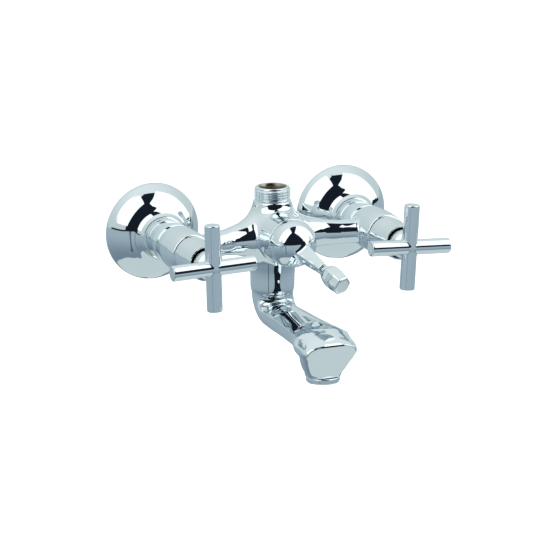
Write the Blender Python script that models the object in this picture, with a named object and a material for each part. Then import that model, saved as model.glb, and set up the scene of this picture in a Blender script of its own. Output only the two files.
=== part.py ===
"""Wall mounted bath faucet: two cross handles, a lever diverter, a top shower outlet and a fixed spout.

Run with: blender --background --python part.py

Units are metres and +Z is up. The wall is the plane Y = 0 and the faucet's front looks along -Y. The
origin is on the wall, midway between the two inlets. Turned pieces are drawn as (radius, station)
profiles, where a station is the distance from the wall on a valve, or the height on a vertical axis.
"""
import math

import bmesh
import bpy
from mathutils import Matrix, Vector

MM = 0.001

# --- Fits shared by several pieces -------------------------------------------------------------
GAP = 0.3 * MM                   # between two faces that touch on the real faucet
RUNNING_GAP = 0.35 * MM          # round a turning shaft
THREAD_GAP = 0.3 * MM            # between a threaded piece and its tapped bore
BEYOND = 1.0 * MM                # how far a cutter runs past the face that it cuts

# --- Layout ------------------------------------------------------------------------------------
INLET_CENTRES = 150.0 * MM       # between the two inlets and the two valve axes
HUB_STATION = 46.9 * MM          # the hub's vertical axis, from the wall
TOP_FACE_HEIGHT = 36.2 * MM
DIVERTER_HEIGHT = 2.0 * MM       # the diverter's axis above the valve axes
SPOUT_HEIGHT = -56.0 * MM        # middle of the spout's forward arm
OUTLET_STATION = 136.0 * MM      # the aerator's axis, from the wall

# --- Escutcheon --------------------------------------------------------------------------------
PLATE_RADIUS = 35.5 * MM
PLATE_DEPTH = 25.2 * MM
PLATE_WALL = 1.2 * MM

# --- Wall union, its nut and the inlet nipple --------------------------------------------------
TAIL_RADIUS = 10.4 * MM          # 1/2 inch pipe thread, drawn plain
TAIL_DEPTH = 14.0 * MM           # how far the tail reaches into the wall
TAIL_OFFSET = 8.0 * MM           # the tail's axis below the valve's axis
UNION_THREAD_RADIUS = 12.9 * MM  # 3/4 inch pipe thread, drawn plain
UNION_BORE = 6.5 * MM
UNION_FACE = 35.6 * MM           # station of the union's sealing face
WASHER_THICKNESS = 1.8 * MM
COLLAR_THICKNESS = 3.0 * MM
NIPPLE_RADIUS = UNION_THREAD_RADIUS - 4.7 * MM
NIPPLE_BORE = 5.8 * MM
NUT_RADIUS = 14.7 * MM
NUT_BACK = 20.5 * MM

# --- Valve chamber of the body -----------------------------------------------------------------
CHAMBER_BACK = 45.0 * MM
CHAMBER_FRONT = 80.5 * MM
CHAMBER_WALL = 4.9 * MM
SEAT_STATION = 54.0 * MM
SEAT_WALL = 2.0 * MM
SEAT_PORT = 5.0 * MM

# --- Headwork: a quarter turn ceramic valve ----------------------------------------------------
DISC_RADIUS = 6.8 * MM
DISC_THICKNESS = 2.6 * MM
SEAL_THICKNESS = 2.2 * MM
DISC_PORT = 1.9 * MM
DISC_PORT_CENTRE = 3.7 * MM
SPINDLE_RADIUS = 4.2 * MM
SPINDLE_FOOT = 2.4 * MM
SPINDLE_END = 107.0 * MM
GLAND_NOSE_RADIUS = DISC_RADIUS + 2.8 * MM
GLAND_SHOULDER = 1.4 * MM        # each step of the gland, from nose to thread and from thread to flange
CHAMBER_BORE = GLAND_NOSE_RADIUS + GLAND_SHOULDER
GLAND_FLANGE_RADIUS = CHAMBER_BORE + GLAND_SHOULDER
CHAMBER_RADIUS = CHAMBER_BORE + CHAMBER_WALL
GLAND_FLANGE = 3.2 * MM
GLAND_NECK_RADIUS = 8.4 * MM
GLAND_END = 94.0 * MM
ORING_STATION = 76.0 * MM
ORING_WIDTH = 2.0 * MM
ORING_DEPTH = 1.2 * MM

# --- Sleeve and cross handle -------------------------------------------------------------------
SLEEVE_REAR_RADIUS = CHAMBER_RADIUS - 2.0 * MM
SLEEVE_FRONT_RADIUS = 12.5 * MM
SLEEVE_END = 105.0 * MM
SLEEVE_WALL = 1.1 * MM
STEM_RADIUS = 10.4 * MM
STEM_BACK = 96.0 * MM
BUSH_WALL = 1.7 * MM
BUSH_LENGTH = 11.5 * MM
BAR_STATION = 118.4 * MM
BAR_RADIUS = 5.5 * MM
BAR_LENGTH = 61.7 * MM
BAR_CHAMFER = 0.6 * MM
LEFT_HANDLE_TILT = math.radians(1.6)
RIGHT_HANDLE_TILT = math.radians(-3.2)
GRUB_RADIUS = 1.6 * MM
HANDLE_GRUB_STATION = 109.0 * MM

# --- Cross arms of the body --------------------------------------------------------------------
ARM_HUB_STATION = 49.5 * MM
ARM_CHAMBER_STATION = 59.0 * MM
ARM_END_RADIUS = 8.6 * MM
ARM_ROOT_RADIUS = 14.0 * MM
ARM_ROOT_X = 20.0 * MM
ARM_END_X = INLET_CENTRES / 2.0 - 13.0 * MM
ARM_BORE = 4.6 * MM

# --- Hub and its top outlet --------------------------------------------------------------------
HUB_RADIUS = 19.8 * MM
THREAD_RADIUS = 13.22 * MM       # 3/4 inch pipe thread, 26.44 mm across
THREAD_PITCH = 1.814 * MM
THREAD_DEPTH = 1.1 * MM
THREAD_TURNS = 5
OUTLET_BORE = 9.9 * MM

# --- Diverter ----------------------------------------------------------------------------------
BOSS_RADIUS = 17.5 * MM
BOSS_FRONT = 81.6 * MM
DIVERTER_BORE = 10.9 * MM
DIVERTER_SEAL = 1.6 * MM         # thickness of the seal under the plug
DIVERTER_FLOOR = 33.5 * MM       # station of the bottom of the diverter's bore
PLUG_RADIUS = DIVERTER_BORE - 2.0 * RUNNING_GAP
PLUG_FRONT = 60.0 * MM
PLUG_PORT = 5.6 * MM
CARTRIDGE_FLANGE_RADIUS = DIVERTER_BORE + 1.9 * MM
CARTRIDGE_NECK_RADIUS = 8.5 * MM
CARTRIDGE_END = 87.0 * MM
DIVERTER_SHAFT = 4.4 * MM
DOME_RADIUS = BOSS_RADIUS - 0.4 * MM
DOME_APEX = 98.6 * MM
DOME_WALL = 2.2 * MM
DOME_SOCKET_ROOF = 6.0 * MM      # metal over the end of the shaft
DOME_SKIRT = 2.4 * MM
DIVERTER_GRUB_STATION = 90.3 * MM
LEVER_LEAN = math.radians(26.4)  # from the diverter's axis
LEVER_TURN = math.radians(-53.0) # about that axis: right and down at rest
LEVER_PIVOT = 84.0 * MM
LEVER_ROOT_WIDTH = 11.6 * MM
LEVER_NECK_WIDTH = 7.0 * MM
LEVER_ROOT_HEIGHT = 13.0 * MM
LEVER_NECK_HEIGHT = 9.2 * MM
LEVER_START = 11.0 * MM          # distances from the pivot along the lever
LEVER_SHOULDER = 35.4 * MM
STUD_RADIUS = 1.9 * MM
STUD_LENGTH = 8.0 * MM
KNOB_RADIUS = 8.1 * MM
KNOB_NECK_RADIUS = 4.2 * MM
KNOB_FACE_RADIUS = 7.2 * MM
KNOB_LENGTH = 21.6 * MM

# --- Spout -------------------------------------------------------------------------------------
BARREL_RADIUS = 15.2 * MM
BARREL_BEND = 15.0 * MM          # bend radius of the middle line
SPOUT_ROOT_HALF_WIDTH = 14.9 * MM
SPOUT_HEAD_HALF_WIDTH = 19.6 * MM
SPOUT_HALF_HEIGHT = 8.9 * MM
SPOUT_KEEL = 2.6                 # squareness of the arm's lower half
SPOUT_RIDGE = 1.6                # squareness of its upper half: under 2 it is a soft roof
SPOUT_DUCT = 6.2 * MM
HEAD_HALF_WIDTH = 22.0 * MM
HEAD_BOTTOM = SPOUT_HEIGHT - 24.6 * MM
FACET_TOP_STATION = OUTLET_STATION + 16.1 * MM
FACET_TOP_HEIGHT = SPOUT_HEIGHT - 3.0 * MM
FACET_LEAN = math.radians(16.6)  # from the vertical, its foot nearer the wall

# --- Aerator -----------------------------------------------------------------------------------
AERATOR_RADIUS = 12.0 * MM
AERATOR_BAND = 4.1 * MM          # the part of the housing that shows under the head
AERATOR_RIM = 0.9 * MM
AERATOR_THREAD_RADIUS = 8.2 * MM
AERATOR_THREAD_LENGTH = 5.6 * MM
AERATOR_WALL = 1.0 * MM
AERATOR_LEDGE = 1.2 * MM
GASKET_THICKNESS = 1.4 * MM
INSERT_THICKNESS = 5.0 * MM
INSERT_HOLE = 0.9 * MM
INSERT_RINGS = ((2.6 * MM, 5), (5.0 * MM, 9))  # radius and count of each ring of holes

# --- Finishes: colour, roughness, metallic -----------------------------------------------------
CHROME = ((0.80, 0.84, 0.86), 0.07, 1.0)
BRASS = ((0.72, 0.58, 0.34), 0.32, 1.0)
STEEL = ((0.55, 0.55, 0.56), 0.35, 1.0)
CERAMIC = ((0.86, 0.84, 0.78), 0.25, 0.0)
RUBBER = ((0.03, 0.03, 0.03), 0.70, 0.0)
PLASTIC = ((0.82, 0.83, 0.84), 0.45, 0.0)

# --- How many flat sides stand for a round -----------------------------------------------------
PLATE_FLATS = 32
LARGE_FLATS = 24
PLAIN_FLATS = 16
SMALL_FLATS = 12
TINY_FLATS = 8

SIDES = {"left": -1.0, "right": 1.0}
FORWARD = Matrix.Rotation(math.radians(90.0), 4, "X")  # turns local +Z to -Y, the faucet's front


# --- Shape helpers -----------------------------------------------------------------------------
def clear_scene():
    for obj in list(bpy.data.objects):
        bpy.data.objects.remove(obj, do_unlink=True)


def finished_mesh(name, bm):
    """A mesh with its faces out and its round sides smooth."""
    bmesh.ops.recalc_face_normals(bm, faces=bm.faces)
    mesh = bpy.data.meshes.new(name)
    bm.to_mesh(mesh)
    bm.free()
    mesh.shade_smooth()
    mesh.set_sharp_from_angle(angle=math.radians(30.0))
    return mesh


def turned(name, profile, segments=PLAIN_FLATS):
    """Spins a (radius, height) outline about Z. It closes itself unless both its ends are on the axis."""
    bm = bmesh.new()
    verts = [bm.verts.new((radius, 0.0, height)) for radius, height in profile]
    edges = [bm.edges.new(pair) for pair in zip(verts, verts[1:])]
    if profile[0][0] > 0.0 or profile[-1][0] > 0.0:
        edges.append(bm.edges.new((verts[-1], verts[0])))
    bmesh.ops.spin(
        bm,
        geom=verts + edges,
        cent=(0.0, 0.0, 0.0),
        axis=(0.0, 0.0, 1.0),
        angle=math.tau,
        steps=segments,
        use_merge=True,
    )
    bmesh.ops.remove_doubles(bm, verts=bm.verts, dist=0.000001)
    return finished_mesh(name, bm)


def rod(name, radius, start, end, segments=SMALL_FLATS):
    """A plain cylinder along Z."""
    return turned(name, [(0.0, end), (radius, end), (radius, start), (0.0, start)], segments)


def tube(name, outer, inner, start, end, segments=PLAIN_FLATS):
    """A plain ring or pipe along Z."""
    return turned(name, [(outer, end), (outer, start), (inner, start), (inner, end)], segments)


def lofted(name, rings):
    """Joins rings of points, each with as many points as the last, and caps both ends."""
    bm = bmesh.new()
    loops = [[bm.verts.new(point) for point in ring] for ring in rings]
    for near, far in zip(loops, loops[1:]):
        for i in range(len(near)):
            j = (i + 1) % len(near)
            bm.faces.new((near[i], near[j], far[j], far[i]))
    bm.faces.new(loops[0])
    bm.faces.new(loops[-1])
    return finished_mesh(name, bm)


def oval(centre, across, along, segments=PLAIN_FLATS, squareness=2.0, upper_squareness=None):
    """Points of a superellipse round a centre. The half towards `along` can have its own squareness."""
    points = []
    for i in range(segments):
        angle = math.tau * i / segments
        upper = upper_squareness and math.sin(angle) > 0.0
        power = 2.0 / (upper_squareness if upper else squareness)
        c = math.copysign(abs(math.cos(angle)) ** power, math.cos(angle))
        s = math.copysign(abs(math.sin(angle)) ** power, math.sin(angle))
        points.append(Vector(centre) + Vector(across) * c + Vector(along) * s)
    return points


def boxed(name, low, high):
    """A plain block between two corners."""
    bm = bmesh.new()
    size = [b - a for a, b in zip(low, high)]
    middle = [(a + b) / 2.0 for a, b in zip(low, high)]
    place = Matrix.Translation(middle) @ Matrix.Diagonal((*size, 1.0))
    bmesh.ops.create_cube(bm, size=1.0, matrix=place)
    return finished_mesh(name, bm)


# --- Object helpers ----------------------------------------------------------------------------
def add_node(name, mesh, finish, matrix=Matrix.Identity(4), parent=None):
    """One sub-part, with its own material."""
    colour, roughness, metallic = finish
    material = bpy.data.materials.new(name + "_finish")
    material.use_nodes = True
    shader = material.node_tree.nodes["Principled BSDF"]
    shader.inputs["Base Color"].default_value = (*colour, 1.0)
    shader.inputs["Roughness"].default_value = roughness
    shader.inputs["Metallic"].default_value = metallic
    material.diffuse_color = (*colour, 1.0)
    obj = bpy.data.objects.new(name, mesh)
    obj.data.materials.append(material)
    bpy.context.scene.collection.objects.link(obj)
    obj.parent = parent
    obj.matrix_local = matrix
    return obj


def add_tool(mesh, matrix=Matrix.Identity(4), parent=None):
    """A hidden shape that joins or cuts a sub-part."""
    obj = bpy.data.objects.new(mesh.name + "_tool", mesh)
    bpy.context.scene.collection.objects.link(obj)
    obj.parent = parent
    obj.matrix_local = matrix
    obj.hide_render = True
    obj.display_type = "WIRE"
    return obj


def add_empty(name, matrix):
    obj = bpy.data.objects.new(name, None)
    obj.matrix_local = matrix
    bpy.context.scene.collection.objects.link(obj)
    return obj


def combine(target, operation, tools, solver="EXACT"):
    """Adds one Boolean for each tool."""
    for tool in tools:
        modifier = target.modifiers.new(tool.name, "BOOLEAN")
        modifier.operation = operation
        modifier.solver = solver
        modifier.object = tool


def valve_frame(side):
    """Local +Z runs from the wall to the front along one valve's axis, and local +Y is up."""
    return Matrix.Translation((SIDES[side] * INLET_CENTRES / 2.0, 0.0, 0.0)) @ FORWARD


def diverter_frame():
    return Matrix.Translation((0.0, 0.0, DIVERTER_HEIGHT)) @ FORWARD


def hub_frame():
    return Matrix.Translation((0.0, -HUB_STATION, 0.0))


def outlet_frame():
    return Matrix.Translation((0.0, -OUTLET_STATION, 0.0))


# --- Body casting ------------------------------------------------------------------------------
def arm_centre(x):
    """The arm's middle at x: it leaves the hub and leans forward to the valve chamber."""
    share = (abs(x) - ARM_ROOT_X) / (ARM_END_X - ARM_ROOT_X)
    share = min(max(share, 0.0), 1.0)
    eased = share * share * (3.0 - 2.0 * share)
    station = ARM_HUB_STATION + (ARM_CHAMBER_STATION - ARM_HUB_STATION) * eased
    return Vector((x, -station, 0.0))


def arm_radius(x):
    """The arm flares towards the hub."""
    share = (ARM_END_X - abs(x)) / (ARM_END_X - ARM_ROOT_X)
    share = min(max(share, 0.0), 1.0)
    return ARM_END_RADIUS + (ARM_ROOT_RADIUS - ARM_END_RADIUS) * share**2.6


def arm_stations():
    """Even steps between the two valve axes."""
    steps = 14
    reach = INLET_CENTRES / 2.0 - 3.0 * MM
    return [reach * (2.0 * i / steps - 1.0) for i in range(steps + 1)]


def arm_mesh():
    rings = []
    for x in arm_stations():
        radius = arm_radius(x)
        rings.append(oval(arm_centre(x), (0.0, radius, 0.0), (0.0, 0.0, radius), PLAIN_FLATS))
    return lofted("cross_arm", rings)


def arm_bore_mesh():
    rings = []
    for x in arm_stations():
        rings.append(oval(arm_centre(x), (0.0, ARM_BORE, 0.0), (0.0, 0.0, ARM_BORE), SMALL_FLATS))
    return lofted("arm_bore", rings)


def chamber_mesh():
    r = CHAMBER_RADIUS
    profile = [
        (0.0, CHAMBER_FRONT),
        (r - 2.2 * MM, CHAMBER_FRONT),
        (r - 1.8 * MM, CHAMBER_FRONT - 0.6 * MM),
        (r - 1.0 * MM, CHAMBER_FRONT - 2.4 * MM),
        (r - 0.4 * MM, CHAMBER_FRONT - 5.0 * MM),
        (r, CHAMBER_FRONT - 11.0 * MM),
        (r, CHAMBER_FRONT - 20.0 * MM),
        (r - 0.5 * MM, CHAMBER_BACK + 7.0 * MM),
        (r - 1.1 * MM, CHAMBER_BACK + 1.6 * MM),
        (r - 2.2 * MM, CHAMBER_BACK),
        (0.0, CHAMBER_BACK),
    ]
    return turned("valve_chamber", profile, LARGE_FLATS)


def chamber_bore_mesh():
    """The headwork's bore, the seat's port and the nipple's bore, as one stepped cutter."""
    nipple_bore = NIPPLE_RADIUS + THREAD_GAP
    beyond = BEYOND
    profile = [
        (0.0, CHAMBER_FRONT + beyond),
        (CHAMBER_BORE, CHAMBER_FRONT + beyond),
        (CHAMBER_BORE, SEAT_STATION),
        (SEAT_PORT, SEAT_STATION),
        (SEAT_PORT, SEAT_STATION - SEAT_WALL),
        (nipple_bore, SEAT_STATION - SEAT_WALL),
        (nipple_bore, CHAMBER_BACK - beyond),
        (0.0, CHAMBER_BACK - beyond),
    ]
    return turned("chamber_bore", profile, LARGE_FLATS)


def hub_mesh():
    """The hub with its bell neck and the threaded top outlet, whose thread is drawn as rings."""
    top = TOP_FACE_HEIGHT
    root = THREAD_RADIUS - THREAD_DEPTH
    profile = [(0.0, top), (root, top), (THREAD_RADIUS - 0.4 * MM, top - 0.8 * MM)]
    for turn in range(THREAD_TURNS):
        crest = top - 0.9 * MM - turn * THREAD_PITCH
        profile.append((THREAD_RADIUS, crest))
        profile.append((root, crest - 0.5 * THREAD_PITCH))
    bell = top - 0.9 * MM - THREAD_TURNS * THREAD_PITCH
    profile += [
        (THREAD_RADIUS + 0.1 * MM, bell),
        (THREAD_RADIUS + 0.9 * MM, bell - 2.6 * MM),
        (THREAD_RADIUS + 2.2 * MM, bell - 6.6 * MM),
        (THREAD_RADIUS + 4.0 * MM, bell - 10.4 * MM),
        (HUB_RADIUS - 0.7 * MM, bell - 15.0 * MM),
        (HUB_RADIUS, bell - 21.0 * MM),
        (HUB_RADIUS, bell - 30.0 * MM),
        (HUB_RADIUS - 0.9 * MM, bell - 38.0 * MM),
        (HUB_RADIUS - 2.2 * MM, bell - 45.0 * MM),
        (BARREL_RADIUS + 0.9 * MM, bell - 54.0 * MM),
        (0.0, bell - 54.0 * MM),
    ]
    return turned("hub", profile, LARGE_FLATS)


def hub_bore_mesh():
    """From the top face down to the spout's duct."""
    top = TOP_FACE_HEIGHT + BEYOND
    profile = [
        (0.0, top),
        (OUTLET_BORE, top),
        (OUTLET_BORE, -20.0 * MM),
        (0.0, -28.0 * MM),
    ]
    return turned("hub_bore", profile)


def boss_mesh():
    """The diverter's boss on the hub's front."""
    profile = [
        (0.0, BOSS_FRONT),
        (BOSS_RADIUS - 0.5 * MM, BOSS_FRONT),
        (BOSS_RADIUS, BOSS_FRONT - 0.5 * MM),
        (BOSS_RADIUS, BOSS_FRONT - 6.0 * MM),
        (BOSS_RADIUS + 0.6 * MM, BOSS_FRONT - 13.0 * MM),
        (BOSS_RADIUS + 1.4 * MM, HUB_STATION + 4.0 * MM),
        (0.0, HUB_STATION + 4.0 * MM),
    ]
    return turned("diverter_boss", profile, LARGE_FLATS)


def diverter_bore_mesh():
    beyond = BEYOND
    profile = [
        (0.0, BOSS_FRONT + beyond),
        (DIVERTER_BORE, BOSS_FRONT + beyond),
        (DIVERTER_BORE, DIVERTER_FLOOR),
        (0.0, DIVERTER_FLOOR),
    ]
    return turned("diverter_bore", profile)


def spout_path():
    """(middle, tangent) along the spout, from inside the hub round the bend to inside the head."""
    y = -HUB_STATION
    end_station = OUTLET_STATION - 4.0 * MM
    places = [(Vector((0.0, y, -20.0 * MM)), Vector((0.0, 0.0, -1.0)))]
    bend_top = SPOUT_HEIGHT + BARREL_BEND
    for i in range(7):
        angle = math.radians(15.0 * i)
        middle = Vector((
            0.0,
            y - BARREL_BEND * (1.0 - math.cos(angle)),
            bend_top - BARREL_BEND * math.sin(angle),
        ))
        places.append((middle, Vector((0.0, -math.sin(angle), -math.cos(angle)))))
    start = HUB_STATION + BARREL_BEND
    steps = 5
    for i in range(1, steps + 1):
        station = start + (end_station - start) * i / steps
        places.append((Vector((0.0, -station, SPOUT_HEIGHT)), Vector((0.0, -1.0, 0.0))))
    return places


def spout_mesh():
    """The vertical barrel, the bend and the flattened arm that widens towards the head."""
    places = spout_path()
    bend_end = HUB_STATION + BARREL_BEND
    rings = []
    for middle, tangent in places:
        turn = math.acos(min(1.0, max(-1.0, -tangent.z))) / math.radians(90.0)
        ahead = max(0.0, (-middle.y - bend_end) / (OUTLET_STATION - bend_end))
        half_height = BARREL_RADIUS + (SPOUT_HALF_HEIGHT - BARREL_RADIUS) * turn**0.8
        half_width = BARREL_RADIUS + (SPOUT_ROOT_HALF_WIDTH - BARREL_RADIUS) * turn
        half_width += (SPOUT_HEAD_HALF_WIDTH - SPOUT_ROOT_HALF_WIDTH) * ahead**1.3
        tuck = 0.3 * (max(0.0, ahead - 0.78) / 0.22) ** 2
        side = Vector((half_width * (1.0 - tuck), 0.0, 0.0))
        up = tangent.cross(Vector((1.0, 0.0, 0.0))) * half_height * (1.0 - tuck)
        keel = 2.0 + (SPOUT_KEEL - 2.0) * turn**2
        roof = 2.0 + (SPOUT_RIDGE - 2.0) * turn**2
        rings.append(oval(middle, side, up, LARGE_FLATS, keel, roof))
    return lofted("spout_arm", rings)


def spout_duct_mesh():
    rings = []
    for middle, tangent in spout_path():
        up = tangent.cross(Vector((1.0, 0.0, 0.0))) * SPOUT_DUCT
        rings.append(oval(middle, (SPOUT_DUCT, 0.0, 0.0), up, SMALL_FLATS))
    return lofted("spout_duct", rings)


def head_mesh():
    """The head: a crowned top that narrows down to the round collar of the aerator."""
    width = HEAD_HALF_WIDTH
    collar = AERATOR_RADIUS + 0.5 * MM
    crown = SPOUT_HEIGHT + 9.4 * MM
    base = HEAD_BOTTOM
    # height, half width, half length, how far the middle lies behind the outlet's axis
    sections = [
        (crown, 0.25 * width, 5.0 * MM, 13.0 * MM),
        (crown - 1.2 * MM, 0.48 * width, 9.5 * MM, 9.5 * MM),
        (crown - 3.8 * MM, 0.69 * width, 14.0 * MM, 5.4 * MM),
        (crown - 7.6 * MM, 0.87 * width, 17.6 * MM, 1.6 * MM),
        (crown - 11.4 * MM, 0.97 * width, 19.0 * MM, -1.4 * MM),
        (crown - 14.0 * MM, 0.98 * width, 18.4 * MM, -3.0 * MM),
        (crown - 17.9 * MM, 0.88 * width, 15.6 * MM, -4.8 * MM),
        (base + 11.6 * MM, 0.80 * width, 14.6 * MM, -2.4 * MM),
        (base + 6.1 * MM, 0.69 * width, 14.0 * MM, -0.6 * MM),
        (base + 2.0 * MM, collar + 0.5 * MM, collar + 0.5 * MM, 0.0),
        (base, collar, collar, 0.0),
    ]
    rings = []
    for height, half_width, half_length, behind in sections:
        centre = (0.0, -OUTLET_STATION + behind, height)
        rings.append(oval(centre, (half_width, 0.0, 0.0), (0.0, half_length, 0.0), LARGE_FLATS))
    return lofted("spout_head", rings)


def facet_mesh():
    """A block whose back face trims the head's flat front."""
    size = 60.0 * MM
    return boxed("facet", (-size, -size, -size), (size, 0.0, size))


def facet_frame():
    top = Matrix.Translation((0.0, -FACET_TOP_STATION, FACET_TOP_HEIGHT))
    return top @ Matrix.Rotation(FACET_LEAN, 4, "X")


def aerator_bore_depth():
    return AERATOR_THREAD_LENGTH + GASKET_THICKNESS + 2.0 * GAP


def aerator_bore_mesh():
    """The tapped bore under the head."""
    radius = AERATOR_THREAD_RADIUS + THREAD_GAP
    return rod("aerator_bore", radius, HEAD_BOTTOM - BEYOND, HEAD_BOTTOM + aerator_bore_depth(), PLAIN_FLATS)


def duct_drop_mesh():
    """The vertical end of the spout's duct, a little narrower than the duct itself."""
    radius = SPOUT_DUCT - 0.2 * MM
    return rod("duct_drop", radius, HEAD_BOTTOM + aerator_bore_depth() - BEYOND, SPOUT_HEIGHT + BEYOND)


def make_body():
    body = add_node("body", arm_mesh(), CHROME)
    chamber = chamber_mesh()
    joined = [add_tool(chamber, valve_frame(side)) for side in SIDES]
    joined.append(add_tool(hub_mesh(), hub_frame()))
    joined.append(add_tool(boss_mesh(), diverter_frame()))
    joined.append(add_tool(spout_mesh()))
    joined.append(add_tool(head_mesh()))
    combine(body, "UNION", joined, "MANIFOLD")
    chamber_bore = chamber_bore_mesh()
    cutters = [add_tool(chamber_bore, valve_frame(side)) for side in SIDES]
    cutters.append(add_tool(arm_bore_mesh()))
    cutters.append(add_tool(hub_bore_mesh(), hub_frame()))
    cutters.append(add_tool(diverter_bore_mesh(), diverter_frame()))
    cutters.append(add_tool(spout_duct_mesh()))
    cutters.append(add_tool(duct_drop_mesh(), outlet_frame()))
    cutters.append(add_tool(aerator_bore_mesh(), outlet_frame()))
    cutters.append(add_tool(facet_mesh(), facet_frame()))
    combine(body, "DIFFERENCE", cutters, "MANIFOLD")


# --- Wall connection ---------------------------------------------------------------------------
def make_escutcheon(side):
    """A thin bell that hides the hole in the wall: a dome with a flared neck round the nut."""
    r = PLATE_RADIUS
    d = PLATE_DEPTH
    wall = PLATE_WALL
    opening = NUT_RADIUS + 0.9 * MM
    profile = [
        (opening, d),
        (opening + 0.9 * MM, d - 2.4 * MM),
        (opening + 3.0 * MM, d - 5.4 * MM),
        (r - 13.0 * MM, d - 8.2 * MM),
        (r - 8.6 * MM, d - 11.2 * MM),
        (r - 4.8 * MM, d - 14.6 * MM),
        (r - 2.0 * MM, d - 18.4 * MM),
        (r - 0.5 * MM, d - 22.2 * MM),
        (r, 0.0),
        (r - wall, 0.0),
        (r - 2.2 * MM - wall, d - 19.0 * MM),
        (r - 8.6 * MM - wall, d - 12.2 * MM),
        (opening + 1.6 * MM, d - 6.2 * MM),
        (opening - 0.5 * wall, d - 1.0 * MM),
    ]
    add_node("escutcheon_" + side, turned("escutcheon", profile, PLATE_FLATS), CHROME, valve_frame(side))


def union_rings(tail_radius, front_radius, back, front, segments):
    """Rings of a pipe that steps from the wall tail's axis over to the valve's axis."""
    bend_back = 7.0 * MM
    bend_front = 16.0 * MM
    places = [(back, 0.0), (bend_back, 0.0)]
    places += [(bend_back + (bend_front - bend_back) * i / 4.0, i / 4.0) for i in (1, 2, 3)]
    places += [(bend_front, 1.0), (front, 1.0)]
    rings = []
    for station, share in places:
        eased = share * share * (3.0 - 2.0 * share)
        radius = tail_radius + (front_radius - tail_radius) * eased
        centre = (0.0, -TAIL_OFFSET * (1.0 - eased), station)
        rings.append(oval(centre, (radius, 0.0, 0.0), (0.0, radius, 0.0), segments))
    return rings


def make_wall_union(side):
    """The offset union: a pipe thread into the wall and a larger one for the nut."""
    frame = valve_frame(side)
    rings = union_rings(TAIL_RADIUS, UNION_THREAD_RADIUS, -TAIL_DEPTH, UNION_FACE, PLAIN_FLATS)
    union = add_node("wall_union_" + side, lofted("wall_union", rings), BRASS, frame)
    way = union_rings(UNION_BORE, UNION_BORE, -TAIL_DEPTH - BEYOND, UNION_FACE + BEYOND, SMALL_FLATS)
    combine(union, "DIFFERENCE", [add_tool(lofted("union_bore", way), frame)])


def washer_front():
    return UNION_FACE + GAP + WASHER_THICKNESS


def collar_back():
    return washer_front() + GAP


def collar_front():
    return collar_back() + COLLAR_THICKNESS


def make_union_washer(side):
    mesh = tube("union_washer", UNION_THREAD_RADIUS - 0.6 * MM, UNION_BORE + 0.8 * MM,
                UNION_FACE + GAP, washer_front())
    add_node("union_washer_" + side, mesh, RUBBER, valve_frame(side))


def make_inlet_nipple(side):
    """The brass nipple screwed into the chamber. Its collar holds the union nut."""
    collar = UNION_THREAD_RADIUS - 0.4 * MM
    end = SEAT_STATION - SEAT_WALL - GAP
    profile = [
        (NIPPLE_RADIUS, end),
        (NIPPLE_RADIUS, collar_front()),
        (collar, collar_front()),
        (collar, collar_back()),
        (NIPPLE_BORE, collar_back()),
        (NIPPLE_BORE, end),
    ]
    mesh = turned("inlet_nipple", profile)
    add_node("inlet_nipple_" + side, mesh, BRASS, valve_frame(side))


def make_union_nut(side):
    """A round collar nut with a crowned side and an inner lip behind the nipple's collar."""
    r = NUT_RADIUS
    bore = UNION_THREAD_RADIUS + THREAD_GAP
    lip = NIPPLE_RADIUS + 0.5 * MM
    lip_back = collar_front() + GAP
    front = CHAMBER_BACK - GAP
    middle = (NUT_BACK + front) / 2.0
    profile = [
        (lip, front),
        (r - 1.3 * MM, front),
        (r - 0.7 * MM, front - 0.6 * MM),
        (r - 0.2 * MM, front - 4.0 * MM),
        (r, middle),
        (r - 0.2 * MM, NUT_BACK + 4.0 * MM),
        (r - 0.7 * MM, NUT_BACK),
        (bore, NUT_BACK),
        (bore, lip_back),
        (lip, lip_back),
    ]
    add_node("union_nut_" + side, turned("union_nut", profile, LARGE_FLATS), CHROME, valve_frame(side))


# --- Headwork ----------------------------------------------------------------------------------
def fixed_disc_back():
    return SEAT_STATION + SEAL_THICKNESS + 2.0 * GAP


def moving_disc_back():
    return fixed_disc_back() + DISC_THICKNESS + GAP


def foot_back():
    return moving_disc_back() + DISC_THICKNESS + GAP


def gland_shoulder():
    return foot_back() + SPINDLE_FOOT + GAP


def make_seat_seal(side):
    mesh = tube("seat_seal", DISC_RADIUS, SEAT_PORT - 0.4 * MM, SEAT_STATION + GAP,
                SEAT_STATION + GAP + SEAL_THICKNESS)
    add_node("seat_seal_" + side, mesh, RUBBER, valve_frame(side))


def make_disc(name, back, port_angle, matrix, hinge=None):
    """A ceramic disc with two ports. The moving one turns with the spindle."""
    front = back + DISC_THICKNESS
    disc = rod("ceramic_disc", DISC_RADIUS, back, front, PLAIN_FLATS)
    node = add_node(name, disc, CERAMIC, matrix, hinge)
    port = rod("disc_port", DISC_PORT, back - BEYOND, front + BEYOND, TINY_FLATS)
    tools = []
    for angle in (port_angle, port_angle + math.pi):
        shift = (DISC_PORT_CENTRE * math.cos(angle), DISC_PORT_CENTRE * math.sin(angle), 0.0)
        tools.append(add_tool(port, matrix @ Matrix.Translation(shift), hinge))
    combine(node, "DIFFERENCE", tools)


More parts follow.
